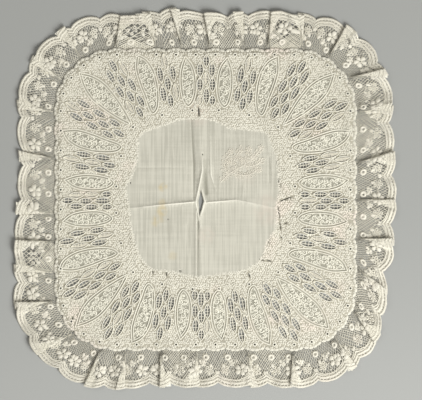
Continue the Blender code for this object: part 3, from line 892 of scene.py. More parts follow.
LAWN_COLOUR = (0.63, 0.61, 0.515)
LAWN_SHADE = (0.50, 0.485, 0.405)
# Painted shade: the cloth under the embroidery is darkened to stand for the shade between the stitches
BAND_PAINTED_SHADE = (0.41, 0.385, 0.305)
# Painted highlight on the ridges of the fine creases; painted shade in their grooves and inside the leaves
PAINTED_CREASE_HIGHLIGHT = (0.92, 0.89, 0.77)
PAINTED_CREASE_SHADE = (0.32, 0.31, 0.25)
YELLOW = (0.60, 0.47, 0.22)
PINK = (0.66, 0.58, 0.49)
Stain = namedtuple("Stain", "x y reach strength colour")
STAINS = (Stain(-42.5, 12.5, 6, 0.6, YELLOW), Stain(-43.5, -11.5, 7, 0.55, YELLOW),
          Stain(-48, -21.5, 8, 0.45, YELLOW), Stain(-43, -3, 5, 0.4, YELLOW),
          Stain(-33, -56, 6, 0.25, YELLOW), Stain(36, 34, 26, 0.2, PINK), Stain(64, -10, 20, 0.45, PINK),
          Stain(1, -36, 11, 0.4, PINK), Stain(-8, 86, 16, 0.5, PINK))


def lawn_material():
    """Fine lawn in the middle, close cloth under the embroidery, with slubs and old stains; painted shade
    under the embroidery, inside the leaves and in the grooves, and painted highlight on the crease ridges.
    """
    material, shader, place = begin_material("lawn", 0.85)
    x, y = part_coordinates(place)
    worked = place.make("ShaderNodeAttribute", {"attribute_name": "worked"}, output=2)
    painted_light_and_shade = place.make("ShaderNodeAttribute", {"attribute_name": "painted_light_and_shade"}, output=2)
    slubs = noise(place, 1.7, 2, (1, 0.035, 1)) * 0.75 + noise(place, 2.6, 2, (0.05, 1, 1)) * 0.25
    cloudy = noise(place, 34, 3)
    blotchy = noise(place, 7, 3)
    colour = slubs.between(0.36, 0.64).tint(LAWN_SHADE, LAWN_COLOUR)
    colour = (cloudy.between(0.4, 0.75) * 0.35).tint(colour, (0.69, 0.67, 0.57))
    # Painted shade under the embroidery, between the stitches
    colour = worked.tint(colour, BAND_PAINTED_SHADE)
    # Painted highlight on the crease ridges, then painted shade in the grooves and inside the leaves
    colour = painted_light_and_shade.between(0.3, 1.0).tint(colour, PAINTED_CREASE_HIGHLIGHT)
    colour = (painted_light_and_shade * -1).between(0.1, 0.8).tint(colour, PAINTED_CREASE_SHADE)
    for stain in STAINS:
        off = (x - stain.x) ** 2 + (y - stain.y) ** 2
        spot = (1 - off.between(0.0, stain.reach**2)) * blotchy.between(0.3, 0.6) * stain.strength
        colour = spot.tint(colour, stain.colour)
    link(shader, "Base Color", colour)
    weave = (x * (2 * math.pi / 0.6)).sine() * 0.5 + (y * (2 * math.pi / 0.6)).sine() * 0.5
    relief = weave * 0.3 + slubs * 0.9 + noise(place, 1.4, 2) * 0.6
    link(shader, "Normal", bump(relief, 0.5, 0.25))
    link(shader, "Alpha", worked * 0.1 + 0.9)
    return material


def thread_material(name, colour, shade, pinkish=0.0, grain=0.7):
    """Cotton thread: fine grain, clouded ivory colour."""
    material, shader, place = begin_material(name, 0.75, 0.3)
    cloudy = noise(place, 26, 3)
    fine = noise(place, grain, 2)
    mixed = (fine.between(0.3, 0.7) * 0.6 + cloudy.between(0.35, 0.7) * 0.4).tint(shade, colour)
    if pinkish:
        patches = noise(place, 48, 2).between(0.55, 0.7) * pinkish
        mixed = patches.tint(mixed, (0.80, 0.69, 0.60))
    link(shader, "Base Color", mixed)
    link(shader, "Normal", bump(fine, 0.35, 0.15))
    return material


def veil_with_painted_shade_material():
    """The finest threads of the net, which read as a thin veil between the main threads; its dark grey-brown
    is painted shade of the net in shadow.
    """
    material, shader, place = begin_material("lace_veil_and_painted_shade", 0.85, 0.1)
    fine = noise(place, 1.1, 2)
    cloudy = noise(place, 30, 3)
    border = place.make("ShaderNodeAttribute", {"attribute_name": "border"}, output=2)
    # Painted shade: dark grey-brown so that the gaps of the net read as in shadow; the close border is paler
    colour = cloudy.between(0.3, 0.7).tint((0.24, 0.228, 0.19), (0.35, 0.333, 0.28))
    link(shader, "Base Color", border.tint(colour, (0.55, 0.52, 0.43)))
    link(shader, "Alpha", fine.between(0.35, 0.65) * 0.22 + border * 0.5 + 0.1)
    link(shader, "Normal", bump(fine, 0.3, 0.1))
    return material


def fold_highlight_material():
    """Layers of lace that lie double in the pleats: close and cream, with the net's grain; their cream is
    lighter than the lace's own thread, a painted highlight on the doubled layers.
    """
    material, shader, place = begin_material("lace_folds_and_painted_highlight", 0.8, 0.2)
    fine = noise(place, 1.5, 2)
    cloudy = noise(place, 18, 3)
    # Painted highlight: lighter than the net and worked lace of the same thread; the doubled layers' density
    # is in the alpha
    link(shader, "Base Color", cloudy.between(0.3, 0.7).tint((0.76, 0.725, 0.595), (0.89, 0.855, 0.725)))
    link(shader, "Alpha", fine.between(0.32, 0.6) * 0.55 + 0.35)
    link(shader, "Normal", bump(fine, 0.5, 0.25))
    return material


def floor_material():
    material, shader, place = begin_material("floor", 0.9, 0.0)
    cloudy = noise(place, 300, 2)
    _, y = part_coordinates(place)
    colour = cloudy.tint((0.358, 0.363, 0.345), (0.383, 0.388, 0.37))
    # Painted shade: the floor darkens towards its far side, past y = 10 mm, as the key light falls off
    link(shader, "Base Color", y.between(-230, 10).tint(colour, (0.333, 0.338, 0.322)))
    return material


# The cloth and its embroidery


CLOTH_STEP = 2.1
CLOTH_SHAKE = 0.3
SPARSE_PAST = 9
HOLE_SIDES = 14
HOLE_GROWTH = 0.4
EYELET_SIDES = 7
BROAD_CREASE = 2.5
CREASE_CLEARANCE = 0.6
CREASE_STEP = 1.5
CREASE_ROWS = (-1, -0.45, 0, 0.45, 1)
CREASE_POINTS_APART = 0.45
EDGE_CLEARANCE = 4.6
SPINDLE_CLEARANCE = 0.9
HOLE_CLEARANCE = 0.5
# Painted shade on the cloth inside the leaves, between the curls of their filling
LEAF_PAINTED_SHADE = -0.6


def cloth_holes():
    """Outlines of all that is cut through: the spindles first, then the tear, slits and pinholes."""
    holes = [spindle_outline(s, HOLE_SIDES, grow=HOLE_GROWTH) for s in SPINDLES] + [np.array(TEAR)]
    holes += [slit_outline(s) for s in SLITS]
    angle = np.arange(EYELET_SIDES) * 2 * math.pi / EYELET_SIDES
    return holes + [c + EYELET_RADIUS * np.stack([np.cos(angle), np.sin(angle)], -1) for c in EYELETS]


def cloth_grid():
    """Uneven points all over the cloth, half as many under the embroidery."""
    rng = np.random.default_rng(SEED + 1)
    count = int(CLOTH_HALF / CLOTH_STEP)
    grid = np.stack(np.meshgrid(np.arange(-count, count + 1), np.arange(-count, count + 1)), -1)
    grid = grid.reshape(-1, 2).astype(float)
    grid[:, 0] += 0.5 * (grid[:, 1] % 2)
    spare = (past_middle(grid * CLOTH_STEP) > SPARSE_PAST) & (grid.astype(int).sum(1) % 2 == 0)
    grid = grid[~spare]
    return grid * CLOTH_STEP + rng.uniform(-CLOTH_SHAKE, CLOTH_SHAKE, grid.shape)


def with_creases(grid):
    """The grid, with rows of points along each narrow crease in place of what lay there."""
    lines = []
    for crease in FINE_CREASES:
        if crease.reach > BROAD_CREASE:
            continue
        line = np.array([(crease.x0, crease.y0), (crease.x1, crease.y1)])
        grid = grid[distance_to(grid, line) > crease.reach + CREASE_CLEARANCE]
        run = line[1] - line[0]
        length = np.linalg.norm(run)
        across = np.array([run[1], -run[0]]) / length
        along = line[0] + np.linspace(0, 1, int(length / CREASE_STEP))[:, None] * run
        lines += [along + across * crease.reach * off for off in CREASE_ROWS]
    lines = np.concatenate(lines)
    apart = np.round(lines / CREASE_POINTS_APART).astype(int)
    lines = lines[np.unique(apart, axis=0, return_index=True)[1]]
    return np.concatenate([grid, lines])


def clear_of_holes(grid, holes):
    """The points that keep off the cloth's edge and off everything that is cut through."""
    grid = grid[inset(grid[:, 0], grid[:, 1]) > EDGE_CLEARANCE]
    grid = grid[~near_spindles(grid, SPINDLE_CLEARANCE)]
    for hole in holes[len(SPINDLES):]:
        near = np.abs(grid - hole.mean(axis=0)).max(axis=1) < 20
        closed = np.concatenate([hole, hole[:1]])
        far = np.ones(len(grid), bool)
        far[near] = (distance_to(grid[near], closed) > HOLE_CLEARANCE) & ~inside(grid[near], hole)
        grid = grid[far]
    return grid


def cloth_plan():
    """Corners and triangles of the cloth seen from above, open where it is cut through."""
    holes = cloth_holes()
    outlines = [edge_outline()] + holes
    edges, size = [], 0
    for outline in outlines:
        edges += [(size + i, size + (i + 1) % len(outline)) for i in range(len(outline))]
        size += len(outline)
    flat = np.concatenate(outlines + [clear_of_holes(with_creases(cloth_grid()), holes)])
    corners, _, faces, _, _, _ = delaunay_2d_cdt([Vector(p) for p in flat], edges, [], 1, 1e-5)
    corners = np.array(corners)
    faces = np.array([f for f in faces if len(f) == 3])
    middles = corners[faces].mean(axis=1)
    open_here = np.zeros(len(faces), bool)
    for hole in holes:
        near = np.abs(middles - hole.mean(axis=0)).max(axis=1) < 16
        open_here[near] |= inside(middles[near], hole)
    return corners, faces[~open_here]


def cloth_sheet(corners, faces):
    """The cloth's two faces, with walls between them at every edge."""
    top = np.column_stack([corners, cloth_height(corners[:, 0], corners[:, 1])])
    under = top - np.array([0, 0, CLOTH_THICKNESS])
    under[:, 2] = np.maximum(under[:, 2] + edge_drop(corners[:, 0], corners[:, 1]), FLOOR_GAP)
    ends = np.concatenate([faces[:, [0, 1]], faces[:, [1, 2]], faces[:, [2, 0]]])
    known = set(map(tuple, ends.tolist()))
    rim = np.array([(a, b) for a, b in known if (b, a) not in known])
    total = len(corners)
    walls = np.stack([rim[:, 1], rim[:, 0], rim[:, 0] + total, rim[:, 1] + total], -1)
    walls = np.concatenate([walls[:, [0, 1, 2]], walls[:, [0, 2, 3]]])
    heap = Heap()
    heap.add(np.concatenate([top, under]), np.concatenate([faces, faces[:, ::-1] + total, walls]))
    return heap


def make_cloth():
    """The lawn itself: scalloped, with its creases, and cut through where it is open."""
    corners, faces = cloth_plan()
    cloth = make_piece("cloth", cloth_sheet(corners, faces), lawn_material(), "lawn")
    # Share of the worked band: there the cloth is darkened as painted shade and made less sheer
    worked = smooth(past_middle(corners) / 2.4 + 0.4)
    # Painted light and shade for the cloth's colour: above 0 on the fine ridges, below 0 in the grooves
    painted_light_and_shade = np.clip(fine_folds(corners[:, 0], corners[:, 1]), -1, 1)
    # Painted shade inside each leaf
    for leaf in LEAVES:
        painted_light_and_shade = np.where(inside(corners, leaf[:-1]), LEAF_PAINTED_SHADE, painted_light_and_shade)
    for name, values in (("worked", worked), ("painted_light_and_shade", painted_light_and_shade)):
        attribute = cloth.data.attributes.new(name, "FLOAT", "POINT")
        attribute.data.foreach_set("value", np.concatenate([values, values]).astype(np.float32))
    return cloth


def make_seed_stitches(material):
    """The close ground of small stitches between the leaves and the openwork."""
    rng = np.random.default_rng(SEED + 2)
    step = 2.15
    count = int(CLOTH_HALF / step)
    rows = np.arange(-count - 8, count + 9)
    grid = np.stack(np.meshgrid(rows, rows), -1).reshape(-1, 2).astype(float)
    grid[:, 0] += 0.5 * (grid[:, 1] % 2)
    grid[:, 1] *= 0.88
    grid = grid * step + rng.uniform(-0.5, 0.5, grid.shape)
    grid = grid[inset(grid[:, 0], grid[:, 1]) > 1.5]
    past = past_middle(grid)
    grid = grid[rng.uniform(0, 1, len(grid)) < smooth(past / 5 + 0.45) * (past > 0)]
    outer = inset(grid[:, 0], grid[:, 1]) < 7
    clear = np.ones(len(grid), bool)
    clear[outer] = distance_to(grid[outer], edge_outline(2)) > 3.0
    grid = grid[clear]
    grid = grid[~near_spindles(grid, 1.5)]
    for leaf in LEAVES:
        near = np.abs(grid - leaf.mean(axis=0)).max(axis=1) < 45
        free = np.ones(len(grid), bool)
        free[near] = ~inside(grid[near], leaf[:-1]) & (distance_to(grid[near], leaf) > 1.45)
        grid = grid[free]
    for centre in EYELETS:
        grid = grid[np.linalg.norm(grid - centre, axis=1) > 2.6]
    for slit in SLITS:
        line = np.array([(slit.x0, slit.y0), (slit.x1, slit.y1)])
        grid = grid[distance_to(grid, line) > 1.2]
    count = len(grid)
    heap = Heap()
    add_grains(heap, grid, rng.uniform(0, math.pi, count), rng.uniform(2.2, 3.5, count),
               rng.uniform(1.3, 1.7, count), 0.7)
    return make_piece("seed_stitches", heap, material, "lawn")


def offset_path(path, distance):
    run = np.gradient(path, axis=0)
    run /= np.linalg.norm(run, axis=1, keepdims=True)
    return path + np.stack([run[:, 1], -run[:, 0]], -1) * distance


def make_leaf_cords(material):
    """Double corded outlines of the leaves."""
    heap = Heap()
    for leaf in LEAVES:
        middle = leaf.mean(axis=0)
        for radius, distance in ((0.6, 0.0), (0.5, 2.3)):
            path = offset_path(leaf, distance)
            if np.linalg.norm(path - middle, axis=1).sum() > np.linalg.norm(leaf - middle, axis=1).sum():
                path = offset_path(leaf, -distance)
            add_cord(heap, path[2:-2] if distance else path, radius, 0.7, lift=0.05, wave=0.08)
    return make_piece("leaf_cords", heap, material, "lawn")


def make_leaf_filling(material):
    """Curls and knots that fill the leaves."""
    rng = np.random.default_rng(SEED + 3)
    heap = Heap()
    step = 5.5
    for leaf in LEAVES:
        low, high = leaf.min(axis=0), leaf.max(axis=0)
        columns_here = np.arange(low[0], high[0], step)
        lines_here = np.arange(low[1], high[1], step * 0.87)
        grid = np.stack(np.meshgrid(columns_here, lines_here), -1)
        grid[1::2, :, 0] += step / 2
        grid = grid.reshape(-1, 2) + rng.uniform(-0.3, 0.3, (grid.shape[0] * grid.shape[1], 2))
        grid = grid[inside(grid, leaf[:-1])]
        grid = grid[distance_to(grid, leaf) > 3.2]
        count = len(grid)
        add_rings(heap, grid, 1.95, 0.65, 0.95, rng.uniform(0, 6.28, count), sweep=5.2, steps=9)
        add_grains(heap, grid, rng.uniform(0, math.pi, count), np.full(count, 1.5), np.full(count, 1.2), 0.6)
        loose = rng.uniform(low, high, (int((high - low).prod() / 5), 2))
        loose = loose[inside(loose, leaf[:-1])]
        loose = loose[(distance_to(loose, leaf) > 3.0)]
        count = len(loose)
        add_grains(heap, loose, rng.uniform(0, math.pi, count), rng.uniform(1.6, 2.8, count),
                   np.full(count, 0.9), 0.45)
    return make_piece("leaf_filling", heap, material, "lawn")


def make_spindle_rims(material):
    """Close buttonholing round each spindle."""
    heap = Heap()
    for spindle in SPINDLES:
        add_cord(heap, spindle_outline(spindle, 32, grow=0.75), 0.55, 1.15, closed=True, wave=0.14)
    return make_piece("spindle_rims", heap, material, "lawn")


CENTRE_BAR = 0.4
RUNG = 0.33


def make_spindle_bars(material):
    """Needle-lace ladders inside the spindles, some close and some open."""
    rng = np.random.default_rng(SEED + 4)
    starts, ends, radii = [], [], []
    for centre, out, length, width in SPINDLES:
        across = np.array([out[1], -out[0]])
        kind = rng.choice(3, p=(0.6, 0.2, 0.2))
        pitch = (2.7, 3.7, 1.05)[kind]
        reach = length / 2
        rungs = np.arange(-reach + 1.2, reach - 1.0, pitch)
        drift = rng.uniform(-0.4, 0.4)

        def at(along, side):
            return centre + along * out + side * across

        starts.append(at(-reach, 0))
        ends.append(at(0, drift))
        starts.append(at(0, drift))
        ends.append(at(reach, 0))
        radii += [CENTRE_BAR, CENTRE_BAR]
        for rung in rungs:
            half = float(spindle_half_width(rung / reach)) * width / 2
            slant = rng.uniform(-0.5, 0.5)
            starts.append(at(rung, -half))
            ends.append(at(rung + slant, half))
            radii.append(RUNG)
            if kind == 2:
                later = min(rung + pitch, reach)
                half_later = float(spindle_half_width(later / reach)) * width / 2
                for side in (-0.5, 0.5):
                    starts.append(at(rung, side * half))
                    ends.append(at(later, side * half_later))
                    radii.append(RUNG)
    heap = Heap()
    add_bars(heap, np.array(starts), np.array(ends), np.array(radii)[:, None])
    return make_piece("spindle_bars", heap, material, "lawn")


def make_eyelet_rings(material):
    heap = Heap()
    add_rings(heap, EYELETS, EYELET_RADIUS + 0.65, 0.6, 0.9, steps=12)
    return make_piece("eyelet_rings", heap, material, "lawn")


def make_edge_stitching(material):
    """Buttonholed edge: a firm cord on the scallops, and short stitches square to it."""
    rng = np.random.default_rng(SEED + 7)
    heap = Heap()
    outline = edge_outline()
    add_cord(heap, outline, 0.42, 0.2, closed=True, lift=-0.1)
    dense = edge_outline(6)
    run = np.roll(dense, -1, axis=0) - np.roll(dense, 1, axis=0)
    run /= np.linalg.norm(run, axis=1, keepdims=True)
    inward = np.stack([-run[:, 1], run[:, 0]], -1)
    centres = dense + inward * 1.3
    turns = np.arctan2(inward[:, 1], inward[:, 0])
    count = len(centres)
    add_grains(heap, centres, turns, rng.uniform(2.4, 3.2, count), np.full(count, 1.0), 0.5)
    return make_piece("edge_stitching", heap, material, "lawn")


def make_middle_edge(material):
    """Soft row of stitches where the worked band meets the plain middle."""
    rng = np.random.default_rng(SEED + 5)
    path = smooth_path(MIDDLE_EDGE, 1.25, closed=True)
    run = np.roll(path, -1, axis=0) - np.roll(path, 1, axis=0)
    turns = np.arctan2(run[:, 1], run[:, 0])
    count = len(path)
    heap = Heap()
    for _ in range(2):
        centres = path + rng.uniform(-1.1, 1.1, path.shape)
        add_grains(heap, centres, turns + math.pi / 2 + rng.uniform(-0.7, 0.7, count),
                   rng.uniform(1.6, 3.2, count), np.full(count, 0.9), 0.32)
    return make_piece("middle_edge", heap, material, "lawn")


# The small worked sprig in one corner of the plain middle
SPRIG_STEMS = (
    ((15, 17), (22, 24.5), (30, 30), (39, 35), (48, 42), (55, 51)),
    ((22, 24.5), (19, 32), (20, 40), (25, 47)), ((30, 30), (28, 38), (32, 46), (37, 52)),
    ((26, 27), (35, 24.5), (44, 25), (52, 30)), ((37, 34), (46, 33.5), (54, 37), (57, 42)),
    ((39, 35), (42, 42), (43, 49)),
)
SPRIG_FLOWERS = ((25.5, 48.5), (53.5, 30), (55.5, 52), (43.5, 50.5), (36, 40), (47, 41), (23, 37))


def loop(centre, turn, length, width):
    """Outline of a small leaf or petal that starts at a centre and points along a turn."""
    angle = np.arange(9) * 2 * math.pi / 9
    along, across = (1 - np.cos(angle)) * length / 2, np.sin(angle) * width / 2
    return np.stack([centre[0] + along * math.cos(turn) - across * math.sin(turn),
                     centre[1] + along * math.sin(turn) + across * math.cos(turn)], -1)


def make_sprig(material):
    """Spray of fine stems with outlined leaves and flowers."""
    rng = np.random.default_rng(SEED + 6)
    heap = Heap()
    for stem in SPRIG_STEMS:
        path = smooth_path(stem, 0.9)
        add_cord(heap, path, 0.36, 0.5)
        run = np.gradient(path, axis=0)
        for number in range(2, len(path) - 1, 2):
            side = 1 if number % 4 else -1
            turn = math.atan2(run[number, 1], run[number, 0]) + side * rng.uniform(0.7, 1.2)
            leaf = loop(path[number], turn, rng.uniform(3.2, 4.6), rng.uniform(1.5, 2.1))
            add_cord(heap, leaf, 0.3, 0.5, closed=True)
    for flower in SPRIG_FLOWERS:
        first_turn = rng.uniform(0, 1)
        for petal in range(5):
            turn = first_turn + petal * 2 * math.pi / 5
            start = np.array(flower) + 0.7 * np.array([math.cos(turn), math.sin(turn)])
            add_cord(heap, loop(start, turn, 2.3, 1.8), 0.3, 0.5, closed=True)
        add_rings(heap, np.array([flower]), 0.5, 0.25, 0.4, steps=8)
    return make_piece("sprig", heap, material, "lawn")


# The lace


def lace_samples(step):
    """Places along the lace, with those where it folds added."""
    even = np.arange(0, LACE_LENGTH, step)
    return np.unique(np.round(np.concatenate([even, FOLD_MARKS, [LACE_LENGTH - 1e-3]]), 4))


BORDER_WIDTH = 6.3
BORDER_CUSP = 2.5


def make_veil():
    """The lace as one gathered sheet, too fine to show its smallest threads, coloured dark as painted shade.
    """
    lace = lace_samples(1.8)[:-1]
    reach = frill_reach(lace)
    shares = np.array([0, 0.12, 0.24, 0.36, 0.48, 0.58, 0.67, 0.75, 0.82, 0.89, 0.95, 1])
    outs = [np.full(len(lace), v) for v in (-HEADING_UNDER, -2.0, HEADING_PAST, 2.5, 4.0, PLEATS_FULL)]
    outs += [PLEATS_FULL + share * (reach - 0.8 - PLEATS_FULL) for share in shares[1:]]
    rows = np.stack([frill_surface(lace, out) for out in outs])
    heap = Heap()
    heap.add(rows, grid_faces(len(outs), len(lace), wrap_columns=True))
    veil = make_piece("lace_veil_and_painted_shade", heap, veil_with_painted_shade_material(), "frill")
    past = np.stack(outs) - (reach - BORDER_WIDTH - BORDER_CUSP * (1 - scallop(lace)))
    border = veil.data.attributes.new("border", "FLOAT", "POINT")
    border.data.foreach_set("value", smooth(past.ravel() / 1.6 + 0.5).astype(np.float32))
    return veil


NET_PITCH = 2.4
NET_SLANT = 0.6


def net_path(start, slant):
    """One slanting thread of the net, bent wherever the lace is."""
    end = float(frill_reach(start + slant * 34)) - 3.6
    outs = np.concatenate([[-1.5, HEADING_PAST, 3.2, PLEATS_FULL], np.arange(11, end, 6.0), [end]])
    lace = start + slant * outs
    low, high = lace.min(), lace.max()
    marks = np.concatenate([FOLD_MARKS - LACE_LENGTH, FOLD_MARKS, FOLD_MARKS + LACE_LENGTH])
    marks = marks[(marks > low + 0.05) & (marks < high - 0.05)]
    outs = np.sort(np.concatenate([outs, (marks - start) / slant]))
    return start + slant * outs, outs


def make_net(material):
    """Diamond net in four lengths, so that each stays a piece of modest size."""
    fine = np.arange(0, LACE_LENGTH, 0.5)
    spread = np.cumsum(np.clip(frill_frame(fine, np.full(len(fine), 8.0))[2], 0.8, 2.4))
    count = round(spread[-1] * 0.5 / NET_PITCH)
    starts = np.interp(np.arange(count) / count * spread[-1], spread, fine)
    made = []
    for number, side in enumerate(("far", "right", "near", "left")):
        paths = []
        for start in starts[(starts >= number * LACE_LENGTH / 4) & (starts < (number + 1) * LACE_LENGTH / 4)]:
            for slant in (NET_SLANT, -NET_SLANT):
                paths.append(net_path(start, slant))
        heap = Heap()
        add_strands(heap, paths, 0.3, 0.18)
        made.append(make_piece("lace_net_" + side, heap, material, "frill"))
    return made


def make_border(material):
    """Dense scalloped border: two close bands with pinholes between, and an arched inner cord."""
    rng = np.random.default_rng(SEED + 10)
    heap = Heap()
    lace = lace_samples(1.15)
    reach = frill_reach(lace)
    crown = scallop(lace)
    sway = 0.22 * np.sin(lace / 1.9) + 0.18 * np.sin(lace / 0.83)
    deep = (1 - crown) ** 1.2
    add_ribbon(heap, lace, reach - 1.4, 1.4 + 0.4 * sway, 0.4)
    add_ribbon(heap, lace, reach - 4.8 + sway, 1.6, 0.35)
    add_ribbon(heap, lace, reach - 6.9 - 1.3 * deep, 0.35 + 1.5 * deep, 0.3)
    add_ribbon(heap, lace, reach - 7.9 - 3.6 * deep + sway, 0.7, 0.4)
    bars = np.arange(0, LACE_LENGTH, 3.3)
    ends = frill_reach(bars)
    paths = [(np.array([at, at + 0.3]), np.array([end - 4.0, end - 2.0])) for at, end in zip(bars, ends)]
    add_strands(heap, paths, 0.9, 0.35)
    bars = np.arange(0, LACE_LENGTH, 1.6)
    ends = frill_reach(bars)
    slants = rng.uniform(-0.5, 0.5, len(bars))
    paths = [(np.array([at, at + slant]), np.array([end - 6.2, end - 3.9]))
             for at, slant, end in zip(bars, slants, ends)]
    paths += [(np.array([at, at + slant]), np.array([end - 2.2, end - 0.3]))
              for at, slant, end in zip(bars, slants, ends)]
    add_strands(heap, paths, 0.35, 0.55)
    return make_piece("lace_border", heap, material, "frill")


PETAL = np.array([(0.3, -0.7), (1.5, -1.75), (3.3, -2.2), (4.9, -1.2), (4.9, 1.2), (3.3, 2.2), (1.5, 1.75),
                  (0.3, 0.7)])
LEAFLET = np.array([(0, 0), (1.3, -1.5), (3.4, -1.8), (5.9, -0.3), (5.9, 0.3), (3.4, 1.8), (1.3, 1.5)])
DOT = np.array([(math.cos(a), math.sin(a)) for a in np.arange(6) * math.pi / 3])

# The sprig worked in each repeat of the lace: place across and out from the heading, turn in degrees, size
Sprig = namedtuple("Sprig", "across out turn size")
FLORETS = (Sprig(-7.6, 19.4, 10, 1.1), Sprig(1.4, 12.6, 0, 0.55))
RINGS = (Sprig(7.8, 19.6, 20, 1.0),)
LEAFLETS = (Sprig(-14.2, 14.0, 70, 0.95), Sprig(11.0, 12.6, 112, 0.9), Sprig(-4.6, 8.6, 62, 0.72),
            Sprig(4.4, 8.8, 115, 0.75), Sprig(15.4, 19.5, 84, 0.75))
DOTS = (Sprig(-14.5, 21.5, 0, 0.9), Sprig(0.6, 19.6, 0, 0.8), Sprig(14.8, 17.6, 0, 0.7),
        Sprig(-15.2, 17.4, 0, 0.6), Sprig(0.2, 26.0, 0, 0.8))
SPRIG_REACH = 37.0


HEADING_DOTS = 51


def heading_dots():
    """Places along the lace of the ringed pinholes next to the cloth, kept clear of the pleats."""
    place = (np.arange(HEADING_DOTS) + 0.5) * ROUND / HEADING_DOTS
    feet = np.array([pleat.foot for pleat in PLEATS])
    away = np.mod(place[:, None] - feet[None, :] + ROUND / 2, ROUND) - ROUND / 2
    nearest = away[np.arange(len(place)), np.abs(away).argmin(axis=1)]
    place = np.mod(place + np.where(np.abs(nearest) < 4.5, np.sign(nearest) * 4.5 - nearest, 0), ROUND)
    place = np.where(place < COLUMNS[0, 0], place + ROUND, place)
    return np.interp(place, COLUMNS[:, 0], COLUMNS[:, 7])


def make_lace_sprigs(material):
    """Worked florets, leaves, dots and ringed pinholes, one spray to a repeat."""
    rng = np.random.default_rng(SEED + 8)
    heap = Heap()
    crowns = (np.arange(REPEATS) + 0.5) * LACE_PITCH
    scale = frill_reach(crowns) / SPRIG_REACH
    flip = np.where(np.arange(REPEATS) % 2 == 0, 1.0, -1.0)
    for item in FLORETS:
        lace = crowns + flip * item.across + rng.uniform(-0.8, 0.8, REPEATS)
        out = item.out * scale + rng.uniform(-0.6, 0.6, REPEATS)
        spin = math.radians(item.turn) + rng.uniform(-0.5, 0.5, REPEATS)
        for petal in range(5):
            turn = spin + petal * 2 * math.pi / 5 + rng.uniform(-0.15, 0.15, REPEATS)
            near = 0.9 * item.size
            size = item.size * rng.uniform(0.85, 1.1, REPEATS)
            add_petals(heap, lace + near * np.cos(turn), out + near * np.sin(turn), PETAL, turn, size, 0.6)
        add_eyelets(heap, lace, out, 1.3 * item.size, 0.6, 0.85, 8)
    for item in RINGS:
        lace = crowns + flip * item.across + rng.uniform(-0.6, 0.6, REPEATS)
        spin = math.radians(item.turn) + rng.uniform(-0.5, 0.5, REPEATS)
        add_eyelets(heap, lace, item.out * scale, 1.1 * item.size, 0.6, 0.75, 7)
        for ring in range(5):
            turn = spin + ring * 2 * math.pi / 5
            at = lace + 3.3 * item.size * np.cos(turn)
            add_eyelets(heap, at, item.out * scale + 3.3 * item.size * np.sin(turn), 1.3, 0.72, 0.6, 7)
    for item in LEAFLETS:
        turn = np.where(flip > 0, math.radians(item.turn), math.pi - math.radians(item.turn))
        size = item.size * rng.uniform(0.9, 1.1, REPEATS)
        add_petals(heap, crowns + flip * item.across, item.out * scale, LEAFLET, turn, size, 0.55)
    for item in DOTS:
        add_petals(heap, crowns + flip * item.across, item.out * scale, DOT, np.zeros(REPEATS),
                   np.full(REPEATS, item.size), 0.6)
    stems = []
    for crown, side, grow in zip(crowns, flip, scale):
        for x0, y0, x1, y1 in ((-1, 8, -7, 20), (0, 8, 6, 21), (-1, 9, -14, 17), (1, 9, 13, 17)):
            share = np.linspace(0, 1, 5)
            bow = np.sin(share * math.pi) * 1.2
            stems.append((crown + side * (x0 + (x1 - x0) * share + bow),
                          (y0 + (y1 - y0) * share) * grow))
    add_strands(heap, stems, 0.35, 0.3)
    heading = heading_dots()
    add_eyelets(heap, heading, np.full(len(heading), 6.4), 2.25, 1.55, 0.75, 12)
    return make_piece("lace_sprigs", heap, material, "frill")


FOLD_STEPS = 11


def make_folds(material):
    """The upper layer of each pleat, from its folded edge to where the lace lies single again."""
    rng = np.random.default_rng(SEED + 9)
    heap = Heap()
    turn_length = math.pi * TURN
    for pleat, first_mark in zip(PLEATS, PLEAT_BEGINS):
        size = pleat.lap + rng.uniform(4.5, 10.5)
        across = np.linspace(-turn_length * 0.6, size, FOLD_STEPS)
        if pleat.over > 0:
            fold = first_mark + turn_length + pleat.lap + turn_length / 2
        else:
            fold = first_mark + turn_length / 2
            across = -across
        far = float(frill_reach(fold)) - 1.0
        outs = np.linspace(PLEATS_FULL + 1.5, far, 8)
        share = smooth((outs - PLEATS_FULL) / (far - PLEATS_FULL) * 0.75 + 0.2)
        rows = [frill_surface(fold + across * grown, np.full(FOLD_STEPS, out))
                for out, grown in zip(outs, share)]
        rows = np.stack(rows) + np.array([0, 0, 0.12])
        faces = grid_faces(len(outs), FOLD_STEPS)
        heap.add(rows, faces if pleat.over > 0 else faces[..., ::-1])
    return make_piece("lace_folds_and_painted_highlight", heap, material, "frill")


def make_heading(material):
    """The lace's own footing under the cloth's edge."""
    heap = Heap()
    lace = lace_samples(2.4)
    add_ribbon(heap, lace, np.full(len(lace), -HEADING_UNDER + 0.8), 0.8, 0.2)
    add_ribbon(heap, lace, np.full(len(lace), -2.2), 0.3, 0.15)
    return make_piece("lace_heading", heap, material, "frill")


# Stage


def make_floor():
    """A plain floor that only the stage has."""
    bpy.ops.object.select_all(action="DESELECT")
    bpy.ops.mesh.primitive_plane_add(size=6, location=(0, 0, 0))
    floor = bpy.context.object
    floor.name = "floor"
    floor.data.materials.append(floor_material())


PHOTO_WIDTH = 422.0
CAMERA_HEIGHT = 1500.0
CAMERA_X, CAMERA_Y = 5.5, -0.5
SENSOR_WIDTH = 36


def make_camera():
    """Straight above; one millimetre on the floor is one pixel of the picture."""
    data = bpy.data.cameras.new("camera")
    data.sensor_width = SENSOR_WIDTH
    data.lens = SENSOR_WIDTH * CAMERA_HEIGHT / PHOTO_WIDTH
    camera = bpy.data.objects.new("camera", data)
    camera.location = (CAMERA_X * MM + SHIFT[0], CAMERA_Y * MM + SHIFT[1], CAMERA_HEIGHT * MM)
    bpy.context.scene.collection.objects.link(camera)
    bpy.context.scene.camera = camera


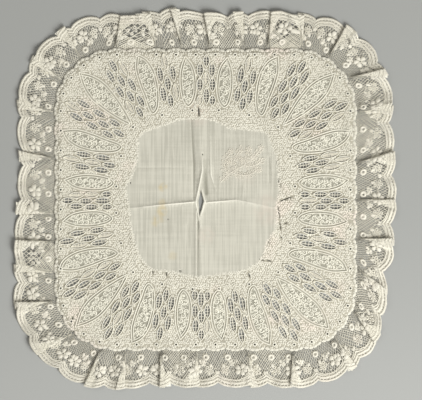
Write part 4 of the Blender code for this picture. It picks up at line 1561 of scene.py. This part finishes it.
LIGHT_COLOUR = (0.985, 0.99, 1.0)
LIGHT_SIZE = 1.4
WORLD_COLOUR = (1.0, 0.965, 0.88, 1)
WORLD_STRENGTH = 0.28


def make_light(name, place, power):
    """A square soft light that faces the middle of the floor."""
    data = bpy.data.lights.new(name, "AREA")
    data.shape = "SQUARE"
    data.size = LIGHT_SIZE
    data.energy = power
    data.color = LIGHT_COLOUR
    light = bpy.data.objects.new(name, data)
    light.location = place
    light.rotation_mode = "QUATERNION"
    light.rotation_quaternion = Vector(place).to_track_quat("Z", "Y")
    bpy.context.scene.collection.objects.link(light)


def make_lights():
    make_light("soft_key", (1.35, -1.35, 1.5), 86)
    make_light("soft_fill", (-0.9, 0.6, 1.4), 6)
    world = bpy.data.worlds.new("studio")
    world.use_nodes = True
    background = world.node_tree.nodes["Background"]
    background.inputs["Color"].default_value = WORLD_COLOUR
    background.inputs["Strength"].default_value = WORLD_STRENGTH
    bpy.context.scene.world = world
    bpy.context.scene.view_settings.view_transform = "Standard"


def main():
    make_camera()
    make_floor()
    make_lights()
    stitches = thread_material("stitches", (0.755, 0.73, 0.625), (0.625, 0.60, 0.505), 0.5)
    cord = thread_material("cords", (0.81, 0.785, 0.675), (0.70, 0.675, 0.575), 0.3)
    faint = thread_material("faint_thread", (0.80, 0.76, 0.655), (0.60, 0.565, 0.475))
    filling = thread_material("filling", (0.82, 0.795, 0.675), (0.68, 0.66, 0.56))
    bars = thread_material("bars", (0.84, 0.80, 0.67), (0.70, 0.66, 0.54))
    net = thread_material("net", (0.77, 0.735, 0.605), (0.62, 0.585, 0.475))
    worked = thread_material("worked_lace", (0.74, 0.71, 0.605), (0.59, 0.56, 0.465), 0.15)
    cloth = make_cloth()
    on_cloth = [
        make_seed_stitches(stitches), make_leaf_cords(cord), make_leaf_filling(filling),
        make_spindle_rims(cord), make_spindle_bars(bars), make_eyelet_rings(cord),
        make_edge_stitching(stitches), make_middle_edge(stitches), make_sprig(faint),
    ]
    veil = make_veil()
    on_lace = make_net(net) + [
        make_border(worked), make_lace_sprigs(worked), make_heading(net), make_folds(fold_highlight_material()),
    ]
    LACE_LENGTH * MM


main()
